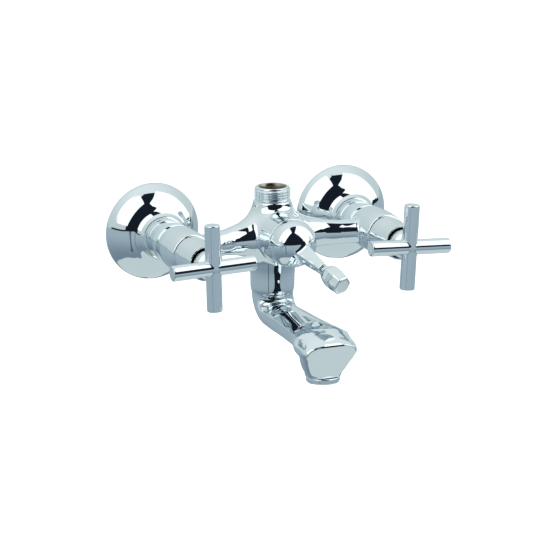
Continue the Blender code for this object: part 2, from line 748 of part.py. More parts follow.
def make_gland(side):
    """The brass headwork screwed into the chamber, with a window on the arm's side."""
    frame = valve_frame(side)
    thread = CHAMBER_BORE - THREAD_GAP
    bore = DISC_RADIUS + RUNNING_GAP
    shaft_bore = SPINDLE_RADIUS + RUNNING_GAP
    nose_end = gland_shoulder() + 3.0 * MM
    flange_back = CHAMBER_FRONT + GAP
    flange_front = flange_back + GLAND_FLANGE
    profile = [
        (shaft_bore, GLAND_END),
        (GLAND_NECK_RADIUS - 0.6 * MM, GLAND_END),
        (GLAND_NECK_RADIUS, GLAND_END - 0.6 * MM),
        (GLAND_NECK_RADIUS, flange_front),
        (GLAND_FLANGE_RADIUS, flange_front),
        (GLAND_FLANGE_RADIUS, flange_back),
        (thread, flange_back),
        (thread, nose_end + 1.0 * MM),
        (GLAND_NOSE_RADIUS, nose_end),
        (GLAND_NOSE_RADIUS, SEAT_STATION + GAP),
        (bore, SEAT_STATION + GAP),
        (bore, gland_shoulder()),
        (shaft_bore, gland_shoulder()),
    ]
    gland = add_node("headwork_gland_" + side, turned("headwork_gland", profile), BRASS, frame)
    half = 3.5 * MM
    low = (-GLAND_NOSE_RADIUS - 1.0 * MM, -half, moving_disc_back() - 1.0 * MM)
    high = (GLAND_NOSE_RADIUS + 1.0 * MM, half, foot_back() + 1.5 * MM)
    combine(gland, "DIFFERENCE", [add_tool(boxed("gland_window", low, high), frame)])


def make_spindle(side, hinge):
    """The spindle with its foot, an O-ring groove and the end that carries the handle."""
    groove = SPINDLE_RADIUS - ORING_DEPTH
    profile = [
        (0.0, SPINDLE_END),
        (SPINDLE_RADIUS - 0.9 * MM, SPINDLE_END),
        (SPINDLE_RADIUS - 0.4 * MM, SPINDLE_END - 0.5 * MM),
        (SPINDLE_RADIUS - 0.4 * MM, GLAND_END + 1.0 * MM),
        (SPINDLE_RADIUS, GLAND_END + 0.6 * MM),
        (SPINDLE_RADIUS, ORING_STATION + ORING_WIDTH),
        (groove, ORING_STATION + ORING_WIDTH),
        (groove, ORING_STATION),
        (SPINDLE_RADIUS, ORING_STATION),
        (SPINDLE_RADIUS, foot_back() + SPINDLE_FOOT),
        (DISC_RADIUS, foot_back() + SPINDLE_FOOT),
        (DISC_RADIUS, foot_back()),
        (0.0, foot_back()),
    ]
    add_node("spindle_" + side, turned("spindle", profile), BRASS, parent=hinge)


def ring_seal(name, inner, outer, start, end):
    """An O-ring with a six-sided section."""
    middle = (start + end) / 2.0
    across = (outer + inner) / 2.0
    profile = []
    for i in range(6):
        angle = -math.tau * (i + 0.5) / 6.0
        radius = across + (outer - inner) / 2.0 * math.cos(angle)
        profile.append((radius, middle + (end - start) / 2.0 * math.sin(angle)))
    return turned(name, profile, SMALL_FLATS)


def make_spindle_oring(side, hinge):
    inner = SPINDLE_RADIUS - ORING_DEPTH + GAP * 0.5
    outer = SPINDLE_RADIUS + RUNNING_GAP * 0.6
    mesh = ring_seal("spindle_oring", inner, outer, ORING_STATION + 0.15 * MM,
                     ORING_STATION + ORING_WIDTH - 0.15 * MM)
    add_node("spindle_oring_" + side, mesh, RUBBER, parent=hinge)


# --- Sleeve and handle -------------------------------------------------------------------------
def make_sleeve(side):
    """The tapered sleeve that covers the headwork in front of the chamber."""
    wall = SLEEVE_WALL
    back = CHAMBER_FRONT + GAP
    flange_front = back + GLAND_FLANGE
    flange_room = GLAND_FLANGE_RADIUS + GAP
    inner = SLEEVE_FRONT_RADIUS - wall
    profile = [
        (inner, SLEEVE_END),
        (SLEEVE_FRONT_RADIUS - 0.3 * MM, SLEEVE_END),
        (SLEEVE_FRONT_RADIUS, SLEEVE_END - 0.4 * MM),
        (SLEEVE_FRONT_RADIUS + 0.4 * MM, SLEEVE_END - 10.0 * MM),
        (SLEEVE_REAR_RADIUS - 0.4 * MM, back + 7.0 * MM),
        (SLEEVE_REAR_RADIUS, back + 0.6 * MM),
        (SLEEVE_REAR_RADIUS - 0.3 * MM, back),
        (flange_room, back),
        (flange_room, flange_front + GAP),
        (inner, flange_front + 2.0 * MM),
    ]
    mesh = turned("handle_sleeve", profile, LARGE_FLATS)
    add_node("handle_sleeve_" + side, mesh, CHROME, valve_frame(side))


def bush_outer():
    return SPINDLE_RADIUS - 0.4 * MM + GAP + BUSH_WALL


def make_spline_bush(side, hinge):
    """The plastic bush between the spindle's end and the handle."""
    back = STEM_BACK + 0.5 * MM
    mesh = tube("spline_bush", bush_outer(), bush_outer() - BUSH_WALL, back, back + BUSH_LENGTH)
    add_node("spline_bush_" + side, mesh, PLASTIC, parent=hinge)


def bar_profile():
    half = BAR_LENGTH / 2.0
    c = BAR_CHAMFER
    return [
        (0.0, half),
        (BAR_RADIUS - c, half),
        (BAR_RADIUS, half - c),
        (BAR_RADIUS, c - half),
        (BAR_RADIUS - c, -half),
        (0.0, -half),
    ]


def make_cross_handle(side, hinge):
    """Two round bars crossed on a stem that turns inside the sleeve."""
    stem_profile = [
        (0.0, BAR_STATION - 1.0 * MM),
        (BAR_RADIUS * 0.8, BAR_STATION - 1.0 * MM),
        (STEM_RADIUS - 2.4 * MM, BAR_STATION - BAR_RADIUS * 0.75),
        (STEM_RADIUS - 0.6 * MM, BAR_STATION - BAR_RADIUS - 1.2 * MM),
        (STEM_RADIUS, BAR_STATION - BAR_RADIUS - 3.0 * MM),
        (STEM_RADIUS, STEM_BACK),
        (0.0, STEM_BACK),
    ]
    bar = turned("handle_bar", bar_profile())
    centre = Matrix.Translation((0.0, 0.0, BAR_STATION))
    across = centre @ Matrix.Rotation(math.radians(90.0), 4, "Y")
    upright = centre @ Matrix.Rotation(math.radians(90.0), 4, "X")
    stem = turned("handle_stem", stem_profile)
    handle = add_node("cross_handle_" + side, stem, CHROME, parent=hinge)
    joined = [add_tool(bar, across, hinge), add_tool(bar, upright, hinge)]
    combine(handle, "UNION", joined)
    socket_end = STEM_BACK + 0.5 * MM + BUSH_LENGTH + GAP
    socket = rod("handle_socket", bush_outer() + GAP, STEM_BACK - 1.0 * MM, socket_end)
    grub_hole = rod("grub_hole", GRUB_RADIUS + GAP, 3.0 * MM, STEM_RADIUS + 2.0 * MM, TINY_FLATS)
    cutters = [add_tool(socket, parent=hinge), add_tool(grub_hole, grub_frame(HANDLE_GRUB_STATION), hinge)]
    combine(handle, "DIFFERENCE", cutters)


def grub_frame(station):
    """Local +Z points down from the axis at a station."""
    return Matrix.Translation((0.0, 0.0, station)) @ Matrix.Rotation(math.radians(90.0), 4, "X")


def make_handle_grub(side, hinge):
    mesh = grub_mesh(bush_outer() + 1.2 * GAP, STEM_RADIUS - 0.4 * MM)
    add_node("handle_grub_screw_" + side, mesh, STEEL, grub_frame(HANDLE_GRUB_STATION), hinge)


def grub_mesh(start, end):
    """A set screw with a hexagon socket in its outer end."""
    bm = bmesh.new()
    rings = [(GRUB_RADIUS, start), (GRUB_RADIUS, end), (GRUB_RADIUS * 0.55, end),
             (GRUB_RADIUS * 0.55, end - 1.2 * MM)]
    loops = []
    for radius, height in rings:
        points = oval((0, 0, height), (radius, 0, 0), (0, radius, 0), TINY_FLATS)
        loops.append([bm.verts.new(point) for point in points])
    for near, far in zip(loops, loops[1:]):
        for i in range(len(near)):
            j = (i + 1) % len(near)
            bm.faces.new((near[i], near[j], far[j], far[i]))
    bm.faces.new(loops[0])
    bm.faces.new(loops[-1])
    return finished_mesh("grub_screw", bm)


def make_valve(side, tilt):
    """One side of the faucet, from the wall to the handle."""
    make_escutcheon(side)
    make_wall_union(side)
    make_union_nut(side)
    make_union_washer(side)
    make_inlet_nipple(side)
    make_seat_seal(side)
    make_disc("fixed_disc_" + side, fixed_disc_back(), 0.0, valve_frame(side))
    make_gland(side)
    make_sleeve(side)
    hinge = add_empty("handle_axis_" + side, valve_frame(side) @ Matrix.Rotation(tilt, 4, "Z"))
    closed_angle = math.radians(90.0)
    make_disc("moving_disc_" + side, moving_disc_back(), closed_angle, Matrix.Identity(4), hinge)
    make_spindle(side, hinge)
    make_spindle_oring(side, hinge)
    make_spline_bush(side, hinge)
    make_cross_handle(side, hinge)
    make_handle_grub(side, hinge)


# --- Diverter ----------------------------------------------------------------------------------
def make_diverter_seal():
    mesh = tube("diverter_seal", PLUG_RADIUS - 0.6 * MM, PLUG_RADIUS - 4.0 * MM,
                DIVERTER_FLOOR + GAP, DIVERTER_FLOOR + GAP + DIVERTER_SEAL)
    add_node("diverter_floor_seal", mesh, RUBBER, diverter_frame())


def make_diverter_plug(hinge):
    """The turning plug with its shaft. A bent way through it sends the water up or down."""
    groove = DIVERTER_SHAFT - ORING_DEPTH
    end = DOME_APEX - DOME_SOCKET_ROOF
    back = DIVERTER_FLOOR + DIVERTER_SEAL + 2.0 * GAP
    profile = [
        (0.0, end),
        (DIVERTER_SHAFT - 0.5 * MM, end),
        (DIVERTER_SHAFT, end - 0.5 * MM),
        (DIVERTER_SHAFT, ORING_STATION + ORING_WIDTH),
        (groove, ORING_STATION + ORING_WIDTH),
        (groove, ORING_STATION),
        (DIVERTER_SHAFT, ORING_STATION),
        (DIVERTER_SHAFT, PLUG_FRONT),
        (PLUG_RADIUS, PLUG_FRONT),
        (PLUG_RADIUS, back),
        (0.0, back),
    ]
    plug = add_node("diverter_plug", turned("diverter_plug", profile), BRASS, parent=hinge)
    centre = Matrix.Translation((0.0, 0.0, HUB_STATION))
    across = centre @ Matrix.Rotation(math.radians(90.0), 4, "Y")
    downward = centre @ Matrix.Rotation(math.radians(90.0), 4, "X")
    reach = PLUG_RADIUS + 1.0 * MM
    through = rod("plug_through_port", PLUG_PORT, -reach, reach)
    branch = rod("plug_branch_port", PLUG_PORT, 0.0, reach)
    combine(plug, "DIFFERENCE", [add_tool(through, across, hinge), add_tool(branch, downward, hinge)])


def make_diverter_cartridge():
    """The bushing screwed into the boss, which guides the plug's shaft."""
    thread = DIVERTER_BORE - THREAD_GAP
    bore = DIVERTER_SHAFT + RUNNING_GAP
    back = PLUG_FRONT + GAP
    flange_back = BOSS_FRONT + GAP
    flange_front = flange_back + 2.2 * MM
    profile = [
        (bore, CARTRIDGE_END),
        (CARTRIDGE_NECK_RADIUS - 0.5 * MM, CARTRIDGE_END),
        (CARTRIDGE_NECK_RADIUS, CARTRIDGE_END - 0.5 * MM),
        (CARTRIDGE_NECK_RADIUS, flange_front),
        (CARTRIDGE_FLANGE_RADIUS, flange_front),
        (CARTRIDGE_FLANGE_RADIUS, flange_back),
        (thread, flange_back),
        (thread, back),
        (bore, back),
    ]
    mesh = turned("diverter_cartridge", profile)
    add_node("diverter_cartridge", mesh, BRASS, diverter_frame())


def make_diverter_oring(hinge):
    inner = DIVERTER_SHAFT - ORING_DEPTH + GAP * 0.5
    outer = DIVERTER_SHAFT + RUNNING_GAP * 0.6
    mesh = ring_seal("diverter_oring", inner, outer, ORING_STATION + 0.15 * MM,
                     ORING_STATION + ORING_WIDTH - 0.15 * MM)
    add_node("diverter_oring", mesh, RUBBER, parent=hinge)


def dome_outline(radius, apex, skirt_end, back, steps=8):
    """Half an oval from the apex to the skirt, then straight back."""
    points = []
    for i in range(steps + 1):
        angle = math.radians(90.0) * i / steps
        points.append((radius * math.sin(angle), skirt_end + (apex - skirt_end) * math.cos(angle)))
    points.append((radius, back))
    return points


def lever_frame():
    """Local +Z runs along the lever, local -X out of its flat top and local Y across that top."""
    pivot = Matrix.Translation((0.0, 0.0, LEVER_PIVOT))
    turn = Matrix.Rotation(LEVER_TURN, 4, "Z")
    return pivot @ turn @ Matrix.Rotation(LEVER_LEAN, 4, "Y")


def lever_rings():
    """Rounded square sections that narrow from the dome to the knob's seat."""
    rings = []
    steps = 4
    for i in range(steps + 1):
        share = i / steps
        station = LEVER_START + (LEVER_SHOULDER - LEVER_START) * share
        half_width = (LEVER_ROOT_WIDTH + (LEVER_NECK_WIDTH - LEVER_ROOT_WIDTH) * share) / 2.0
        half_height = (LEVER_ROOT_HEIGHT + (LEVER_NECK_HEIGHT - LEVER_ROOT_HEIGHT) * share) / 2.0
        across = (0.0, half_width, 0.0)
        rings.append(oval((0.0, 0.0, station), (half_height, 0.0, 0.0), across, SMALL_FLATS, 5.0))
    return rings


def make_diverter_handle(hinge):
    """The hollow dome and its lever are one casting. It is fixed on the shaft by a grub screw."""
    back = BOSS_FRONT + GAP
    skirt_end = back + DOME_SKIRT
    outer = dome_outline(DOME_RADIUS, DOME_APEX, skirt_end, back)
    outer[0] = (0.0, DOME_APEX)
    dome = turned("diverter_dome", outer + [(0.0, back)], LARGE_FLATS)
    handle = add_node("diverter_handle", dome, CHROME, parent=hinge)
    stud = rod("lever_stud", STUD_RADIUS, LEVER_SHOULDER - 1.0 * MM, LEVER_SHOULDER + STUD_LENGTH, TINY_FLATS)
    lever = lofted("diverter_lever", lever_rings())
    combine(handle, "UNION", [add_tool(lever, lever_frame(), hinge), add_tool(stud, lever_frame(), hinge)])
    inner_radius = DOME_RADIUS - DOME_WALL
    hollow_apex = CARTRIDGE_END + 1.0 * MM
    hollow = [
        (0.0, hollow_apex),
        (CARTRIDGE_NECK_RADIUS, hollow_apex),
        (inner_radius - 2.6 * MM, hollow_apex - 1.0 * MM),
        (inner_radius, back + 2.0 * MM),
        (inner_radius, back - 1.0 * MM),
        (0.0, back - 1.0 * MM),
    ]
    socket = rod("dome_socket", DIVERTER_SHAFT + GAP, back, DOME_APEX - DOME_SOCKET_ROOF + GAP)
    grub_hole = rod("dome_grub_hole", GRUB_RADIUS + GAP, 3.0 * MM, DOME_RADIUS + 2.0 * MM, TINY_FLATS)
    cutters = [
        add_tool(turned("dome_hollow", hollow), parent=hinge),
        add_tool(socket, parent=hinge),
        add_tool(grub_hole, grub_frame(DIVERTER_GRUB_STATION), hinge),
    ]
    combine(handle, "DIFFERENCE", cutters)


def make_diverter_grub(hinge):
    """It ends a little under the dome's skin."""
    height = DIVERTER_GRUB_STATION - BOSS_FRONT - GAP - DOME_SKIRT
    rise = DOME_APEX - BOSS_FRONT - GAP - DOME_SKIRT
    skin = DOME_RADIUS * math.sqrt(1.0 - (height / rise) ** 2)
    mesh = grub_mesh(DIVERTER_SHAFT + GAP * 1.2, skin - 1.6 * MM)
    add_node("diverter_grub_screw", mesh, STEEL, grub_frame(DIVERTER_GRUB_STATION), hinge)


def make_diverter_knob(hinge):
    """A six-sided knob screwed on the lever's stud."""
    start = LEVER_SHOULDER + GAP
    sections = [
        (KNOB_NECK_RADIUS, start),
        (KNOB_NECK_RADIUS + 0.5 * MM, start + 1.4 * MM),
        (KNOB_RADIUS, start + 7.6 * MM),
        (KNOB_RADIUS, start + 13.0 * MM),
        (KNOB_FACE_RADIUS, start + KNOB_LENGTH),
    ]
    rings = []
    for radius, station in sections:
        rings.append(oval((0.0, 0.0, station), (radius, 0.0, 0.0), (0.0, radius, 0.0), 6))
    knob = add_node("diverter_knob", lofted("diverter_knob", rings), CHROME, lever_frame(), hinge)
    hole = rod("knob_hole", STUD_RADIUS + GAP, start - 1.0 * MM, start + STUD_LENGTH + GAP, TINY_FLATS)
    combine(knob, "DIFFERENCE", [add_tool(hole, lever_frame(), hinge)])


def make_diverter():
    hinge = add_empty("diverter_axis", diverter_frame())
    make_diverter_seal()
    make_diverter_cartridge()
    make_diverter_plug(hinge)
    make_diverter_oring(hinge)
    make_diverter_handle(hinge)
    make_diverter_grub(hinge)
    make_diverter_knob(hinge)


# --- Aerator -----------------------------------------------------------------------------------
def make_aerator():
    """A housing screwed into the head, with a flow insert inside and a gasket above it."""
    frame = outlet_frame()
    band_top = HEAD_BOTTOM - GAP
    bottom = band_top - AERATOR_BAND
    top = HEAD_BOTTOM + AERATOR_THREAD_LENGTH
    inner = AERATOR_THREAD_RADIUS - AERATOR_WALL
    ledge_top = bottom + AERATOR_LEDGE
    opening = inner - 1.0 * MM
    profile = [
        (inner, top),
        (AERATOR_THREAD_RADIUS, top),
        (AERATOR_THREAD_RADIUS, band_top),
        (AERATOR_RADIUS, band_top),
        (AERATOR_RADIUS, bottom + AERATOR_RIM),
        (AERATOR_RADIUS - AERATOR_RIM, bottom),
        (opening, bottom),
        (opening, ledge_top),
        (inner, ledge_top),
    ]
    add_node("aerator_housing", turned("aerator_housing", profile, LARGE_FLATS), CHROME, frame)
    gasket_back = top + GAP
    gasket = tube("aerator_gasket", AERATOR_THREAD_RADIUS, SPOUT_DUCT, gasket_back,
                  gasket_back + GASKET_THICKNESS)
    add_node("aerator_gasket", gasket, RUBBER, frame)
    make_aerator_insert(inner - GAP, ledge_top + GAP)


def make_aerator_insert(radius, bottom):
    """The plastic flow straightener with rings of holes round one in the middle."""
    frame = outlet_frame()
    top = bottom + INSERT_THICKNESS
    plain = rod("aerator_insert", radius, bottom, top, PLAIN_FLATS)
    insert = add_node("aerator_insert", plain, PLASTIC, frame)
    hole = rod("insert_hole", INSERT_HOLE, bottom - BEYOND, top + BEYOND, 6)
    tools = [add_tool(hole, frame)]
    for ring_radius, count in INSERT_RINGS:
        for i in range(count):
            angle = math.tau * i / count
            shift = (ring_radius * math.cos(angle), ring_radius * math.sin(angle), 0.0)
            tools.append(add_tool(hole, frame @ Matrix.Translation(shift)))
    combine(insert, "DIFFERENCE", tools)


def main():
    clear_scene()
    make_body()
    make_valve("left", LEFT_HANDLE_TILT)
    make_valve("right", RIGHT_HANDLE_TILT)
    make_diverter()
    make_aerator()


main()
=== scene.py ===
"""Looks of a wall mounted bath faucet in mirror chrome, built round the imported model.

Lengths inside the classes are millimetres. A place is (x, s, z): x to the right, s the station in front
of the wall, z up. Turned pieces are drawn as outlines of (radius, place along the axis, corner radius).
"""

import logging
import math
from dataclasses import dataclass
from enum import Enum
from functools import reduce
from typing import Any, Callable, ClassVar, Sequence

import bmesh
import bpy
import numpy as np
from mathutils import Matrix, Vector

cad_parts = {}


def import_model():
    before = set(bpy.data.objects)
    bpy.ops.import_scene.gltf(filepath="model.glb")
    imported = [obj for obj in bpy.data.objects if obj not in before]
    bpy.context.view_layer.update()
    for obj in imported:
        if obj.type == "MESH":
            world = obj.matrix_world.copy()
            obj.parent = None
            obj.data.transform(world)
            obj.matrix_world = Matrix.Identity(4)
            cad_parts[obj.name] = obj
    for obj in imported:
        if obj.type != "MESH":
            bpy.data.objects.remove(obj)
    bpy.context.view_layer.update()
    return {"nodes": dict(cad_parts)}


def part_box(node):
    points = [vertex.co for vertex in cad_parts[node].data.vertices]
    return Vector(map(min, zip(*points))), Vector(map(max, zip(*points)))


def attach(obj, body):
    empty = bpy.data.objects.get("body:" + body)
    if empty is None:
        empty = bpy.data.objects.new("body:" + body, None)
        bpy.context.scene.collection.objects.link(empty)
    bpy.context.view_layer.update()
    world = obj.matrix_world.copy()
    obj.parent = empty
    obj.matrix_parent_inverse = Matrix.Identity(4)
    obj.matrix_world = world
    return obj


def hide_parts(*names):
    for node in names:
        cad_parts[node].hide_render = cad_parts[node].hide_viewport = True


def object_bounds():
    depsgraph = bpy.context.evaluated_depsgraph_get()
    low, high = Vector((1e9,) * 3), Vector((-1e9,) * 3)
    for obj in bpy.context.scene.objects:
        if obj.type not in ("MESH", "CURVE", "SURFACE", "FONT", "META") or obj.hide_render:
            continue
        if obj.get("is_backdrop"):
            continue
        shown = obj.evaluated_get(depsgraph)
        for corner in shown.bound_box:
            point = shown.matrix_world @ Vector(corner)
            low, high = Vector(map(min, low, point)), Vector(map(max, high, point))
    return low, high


LOG = logging.getLogger("faucet")
MM = 0.001
HUB_STATION = 46.9  # the hub's vertical axis, in front of the wall
PIPE_PITCH = 1.814  # of the 1/2 and 3/4 inch pipe threads
FORWARD = Matrix.Rotation(math.radians(90.0), 4, "X")  # turns local +Z to the front and keeps +X

Array = np.ndarray
Field = Callable[[Array, Array, Array], Array]
Outline = Sequence[tuple[float, ...]]
Colour = tuple[float, float, float]


class Slot(Enum):
    """The record's material slots."""

    CHROME = "chrome_plate"
    BRASS = "bare_brass"
    RUBBER = "seal_rubber"
    CERAMIC = "ceramic"
    PLASTIC = "white_plastic"
    STEEL = "screw_steel"


class Side(Enum):
    """The two valves, by the sign of their place across the faucet."""

    LEFT = -1.0
    RIGHT = 1.0

    @property
    def word(self) -> str:
        """The side's word in the node names."""
        return self.name.lower()


HANDLE_TILTS = {Side.LEFT: 1.6, Side.RIGHT: -3.2}  # degrees, about the valve's axis at rest


# --- Shader maths --------------------------------------------------------------------------------
class Signal:
    """A node's output that Python's operators work on."""

    def __init__(self, graph: "Graph", socket: bpy.types.NodeSocket) -> None:
        """Wraps one output.

        Args:
            graph: the graph that the output belongs to.
            socket: the output itself.
        """
        self.graph = graph
        self.socket = socket

    def math(self, operation: str, *others: Any) -> "Signal":
        """A Math node on this value.

        Args:
            operation: the Math node's operation.
            others: the numbers or signals of its further inputs.

        Returns:
            The node's value.
        """
        inputs = dict(enumerate((self, *others)))
        return self.graph.node("ShaderNodeMath", {"operation": operation}, inputs)

    def _swapped(self, operation: str, other: float) -> "Signal":
        """The same with a number first."""
        return self.graph.node("ShaderNodeMath", {"operation": operation}, {0: other, 1: self})

    def __add__(self, other: Any) -> "Signal":
        """self + other."""
        return self.math("ADD", other)

    def __radd__(self, other: float) -> "Signal":
        """other + self."""
        return self.math("ADD", other)

    def __sub__(self, other: Any) -> "Signal":
        """self - other."""
        return self.math("SUBTRACT", other)

    def __rsub__(self, other: float) -> "Signal":
        """other - self."""
        return self._swapped("SUBTRACT", other)

    def __mul__(self, other: Any) -> "Signal":
        """self * other."""
        return self.math("MULTIPLY", other)

    def __rmul__(self, other: float) -> "Signal":
        """other * self."""
        return self.math("MULTIPLY", other)

    def __truediv__(self, other: Any) -> "Signal":
        """self / other."""
        return self.math("DIVIDE", other)

    def ramp(self, low: float, high: float) -> "Signal":
        """Rises smoothly from 0 at low to 1 at high."""
        settings = {"interpolation_type": "SMOOTHSTEP"}
        inputs = {"Value": self, "From Min": low, "From Max": high}
        return self.graph.node("ShaderNodeMapRange", settings, inputs)

    def between(self, low: float, high: float, soft: float) -> "Signal":
        """1 between low and high, with an edge that is soft wide."""
        return self.ramp(low - soft, low + soft) * (1 - self.ramp(high - soft, high + soft))


class Graph:
    """One node tree of a material or of the world."""

    def __init__(self, tree: bpy.types.NodeTree) -> None:
        """Empties a tree and works on it.

        Args:
            tree: the node tree.
        """
        self.tree = tree
        tree.nodes.clear()

    def node(
        self,
        kind: str,
        settings: dict[str, Any] | None = None,
        inputs: dict[Any, Any] | None = None,
        output: Any = 0,
    ) -> Signal:
        """Adds any node.

        Args:
            kind: the node's type.
            settings: its own settings, set before the sockets.
            inputs: the value or signal of each named or numbered socket.
            output: the output to return.

        Returns:
            The chosen output.
        """
        made = self.tree.nodes.new(kind)
        for name, value in (settings or {}).items():
            setattr(made, name, value)
        for key, value in (inputs or {}).items():
            if isinstance(value, Signal):
                self.tree.links.new(value.socket, made.inputs[key])
            else:
                made.inputs[key].default_value = value
        return Signal(self, made.outputs[output]) if made.outputs else Signal(self, made.inputs[0])

    def mix(self, factor: Any, low: Any, high: Any) -> Signal:
        """A colour between two colours."""
        colours = [(*c, 1.0) if isinstance(c, tuple) else c for c in (low, high)]
        inputs = {0: factor, 6: colours[0], 7: colours[1]}
        return self.node("ShaderNodeMix", {"data_type": "RGBA"}, inputs, 2)

    def noise(self, place: Signal, scale: float, detail: float = 2.0) -> Signal:
        """Smooth noise from 0 to 1."""
        inputs = {"Vector": place, "Scale": scale, "Detail": detail}
        return self.node("ShaderNodeTexNoise", None, inputs, "Fac")


# --- Finishes ------------------------------------------------------------------------------------
@dataclass(frozen=True)
class Finish:
    """One finish: a colour that drifts a little, a roughness that drifts too, and a fine relief."""

    name: str
    slot: Slot
    colour: Colour
    tint: Colour
    drift: float
    rough: float
    rough_drift: float
    metal: float
    relief_scale: float
    relief_depth: float

    def material(self) -> bpy.types.Material:
        """The finish as a material, made once.

        Returns:
            The material.
        """
        known = bpy.data.materials.get(self.name)
        if known:
            return known
        made = bpy.data.materials.new(self.name)
        made.use_nodes = True
        graph = Graph(made.node_tree)
        place = graph.node("ShaderNodeTexCoord", output="Object")
        colour = graph.mix(graph.noise(place, self.drift, 3.0).ramp(0.3, 0.75), self.colour, self.tint)
        smudge = graph.noise(place, 3.1 * self.drift, 4.0).ramp(0.35, 0.8)
        relief = self.relief(graph, place)
        bump = graph.node("ShaderNodeBump", None, {
            "Strength": 1.0, "Distance": self.relief_depth * MM, "Height": relief,
        })
        shader = graph.node("ShaderNodeBsdfPrincipled", None, {
            "Base Color": colour,
            "Roughness": smudge * self.rough_drift + self.rough,
            "Metallic": self.metal,
            "Normal": bump,
        })
        graph.node("ShaderNodeOutputMaterial", None, {"Surface": shader})
        return made

    def relief(self, graph: Graph, place: Signal) -> Signal:
        """The height of the fine relief, from 0 to 1."""
        return graph.noise(place, self.relief_scale, 2.0)

    def dress(self, obj: bpy.types.Object) -> None:
        """Gives an object this finish alone."""
        obj.data.materials.clear()
        obj.data.materials.append(self.material())


@dataclass(frozen=True)
class TurnedFinish(Finish):
    """A bare metal finish with the fine rings that a lathe leaves."""

    def relief(self, graph: Graph, place: Signal) -> Signal:
        """Rings along the faucet's front direction, broken by noise."""
        inputs = {"Vector": place, "Scale": self.relief_scale, "Distortion": 0.6}
        rings = graph.node("ShaderNodeTexWave", {"bands_direction": "Y"}, inputs, "Fac")
        return rings * 0.7 + graph.noise(place, self.relief_scale, 3.0) * 0.3


CHROME = Finish(
    "chrome", Slot.CHROME, (0.80, 0.85, 0.87), (0.76, 0.82, 0.85), 22.0, 0.018, 0.030, 1.0, 70.0, 0.004
)
BRASS = TurnedFinish(
    "brass", Slot.BRASS, (0.70, 0.56, 0.33), (0.58, 0.45, 0.26), 60.0, 0.26, 0.16, 1.0, 900.0, 0.03
)
# A darker copy of the brass finish, used only on the spigot's bore: painted shade inside the bore.
SHADED_BRASS = TurnedFinish(
    "brass_painted_shade", Slot.BRASS, (0.48, 0.43, 0.36), (0.34, 0.29, 0.24), 90.0, 0.24, 0.18, 1.0, 700.0, 0.03
)
STEEL = TurnedFinish(
    "steel", Slot.STEEL, (0.52, 0.53, 0.55), (0.42, 0.43, 0.45), 120.0, 0.28, 0.15, 1.0, 1200.0, 0.02
)
RUBBER = Finish(
    "rubber", Slot.RUBBER, (0.022, 0.022, 0.023), (0.035, 0.035, 0.036), 160.0, 0.55, 0.25, 0.0, 1800.0, 0.05
)
CERAMIC = Finish(
    "ceramic", Slot.CERAMIC, (0.88, 0.86, 0.80), (0.82, 0.80, 0.73), 140.0, 0.14, 0.12, 0.0, 900.0, 0.01
)
PLASTIC = Finish(
    "plastic", Slot.PLASTIC, (0.84, 0.85, 0.86), (0.78, 0.80, 0.81), 120.0, 0.34, 0.14, 0.0, 1100.0, 0.02
)


# --- Mesh makers ---------------------------------------------------------------------------------
def add_piece(mesh: bpy.types.Mesh, finish: Finish, body: str, nodes: Sequence[str]) -> bpy.types.Object:
    """Puts a mesh into the scene as a piece that stands for CAD nodes.

    Args:
        mesh: the mesh, already in its place and in metres.
        finish: what it is coated with.
        body: the body that it moves with.
        nodes: the CAD nodes that it stands for.

    Returns:
        The new object.
    """
    obj = bpy.data.objects.new(mesh.name, mesh)
    bpy.context.scene.collection.objects.link(obj)
    finish.dress(obj)
    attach(obj, body)
    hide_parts(*nodes)
    LOG.info("%s: %d faces", obj.name, len(mesh.polygons))
    return obj


def rounded(outline: Outline, steps: int = 5) -> list[tuple[float, float]]:
    """Rounds the corners of an outline.

    Args:
        outline: points of (radius, place) or (radius, place, corner radius).
        steps: how many pieces each rounded corner has.

    Returns:
        The points with arcs in place of the corners that have a radius.
    """
    points: list[tuple[float, float]] = []
    count = len(outline)
    for i, entry in enumerate(outline):
        corner = Vector(entry[:2])
        radius = entry[2] if len(entry) > 2 else 0.0
        before = Vector(outline[(i - 1) % count][:2]) - corner
        after = Vector(outline[(i + 1) % count][:2]) - corner
        if radius <= 0.0 or before.length < 1e-6 or after.length < 1e-6:
            points.append(tuple(corner))
            continue
        half = before.angle(after, math.pi) / 2.0
        reach = min(radius / max(math.tan(half), 1e-6), 0.49 * before.length, 0.49 * after.length)
        start = corner + before.normalized() * reach
        end = corner + after.normalized() * reach
        for step in range(steps + 1):
            t = step / steps
            blend = start * (1 - t) ** 2 + corner * (2 * t * (1 - t)) + end * t**2
            points.append(tuple(blend))
    return points


def flowing(points: Outline, steps: int = 8) -> list[tuple[float, float]]:
    """A smooth line through points.

    Args:
        points: (radius, place) pairs.
        steps: how many pieces lie between two points.

    Returns:
        The points of the line.
    """
    knots = np.array(points, float)
    ends = [2 * knots[0] - knots[1], *knots, 2 * knots[-1] - knots[-2]]
    line = []
    for a, b, c, d in zip(ends, ends[1:], ends[2:], ends[3:]):
        for t in np.arange(steps) / steps:
            spot = 2 * b + (c - a) * t + (2 * a - 5 * b + 4 * c - d) * t**2 + (3 * b - a - 3 * c + d) * t**3
            line.append(tuple(0.5 * spot))
    return [*line, tuple(knots[-1])]


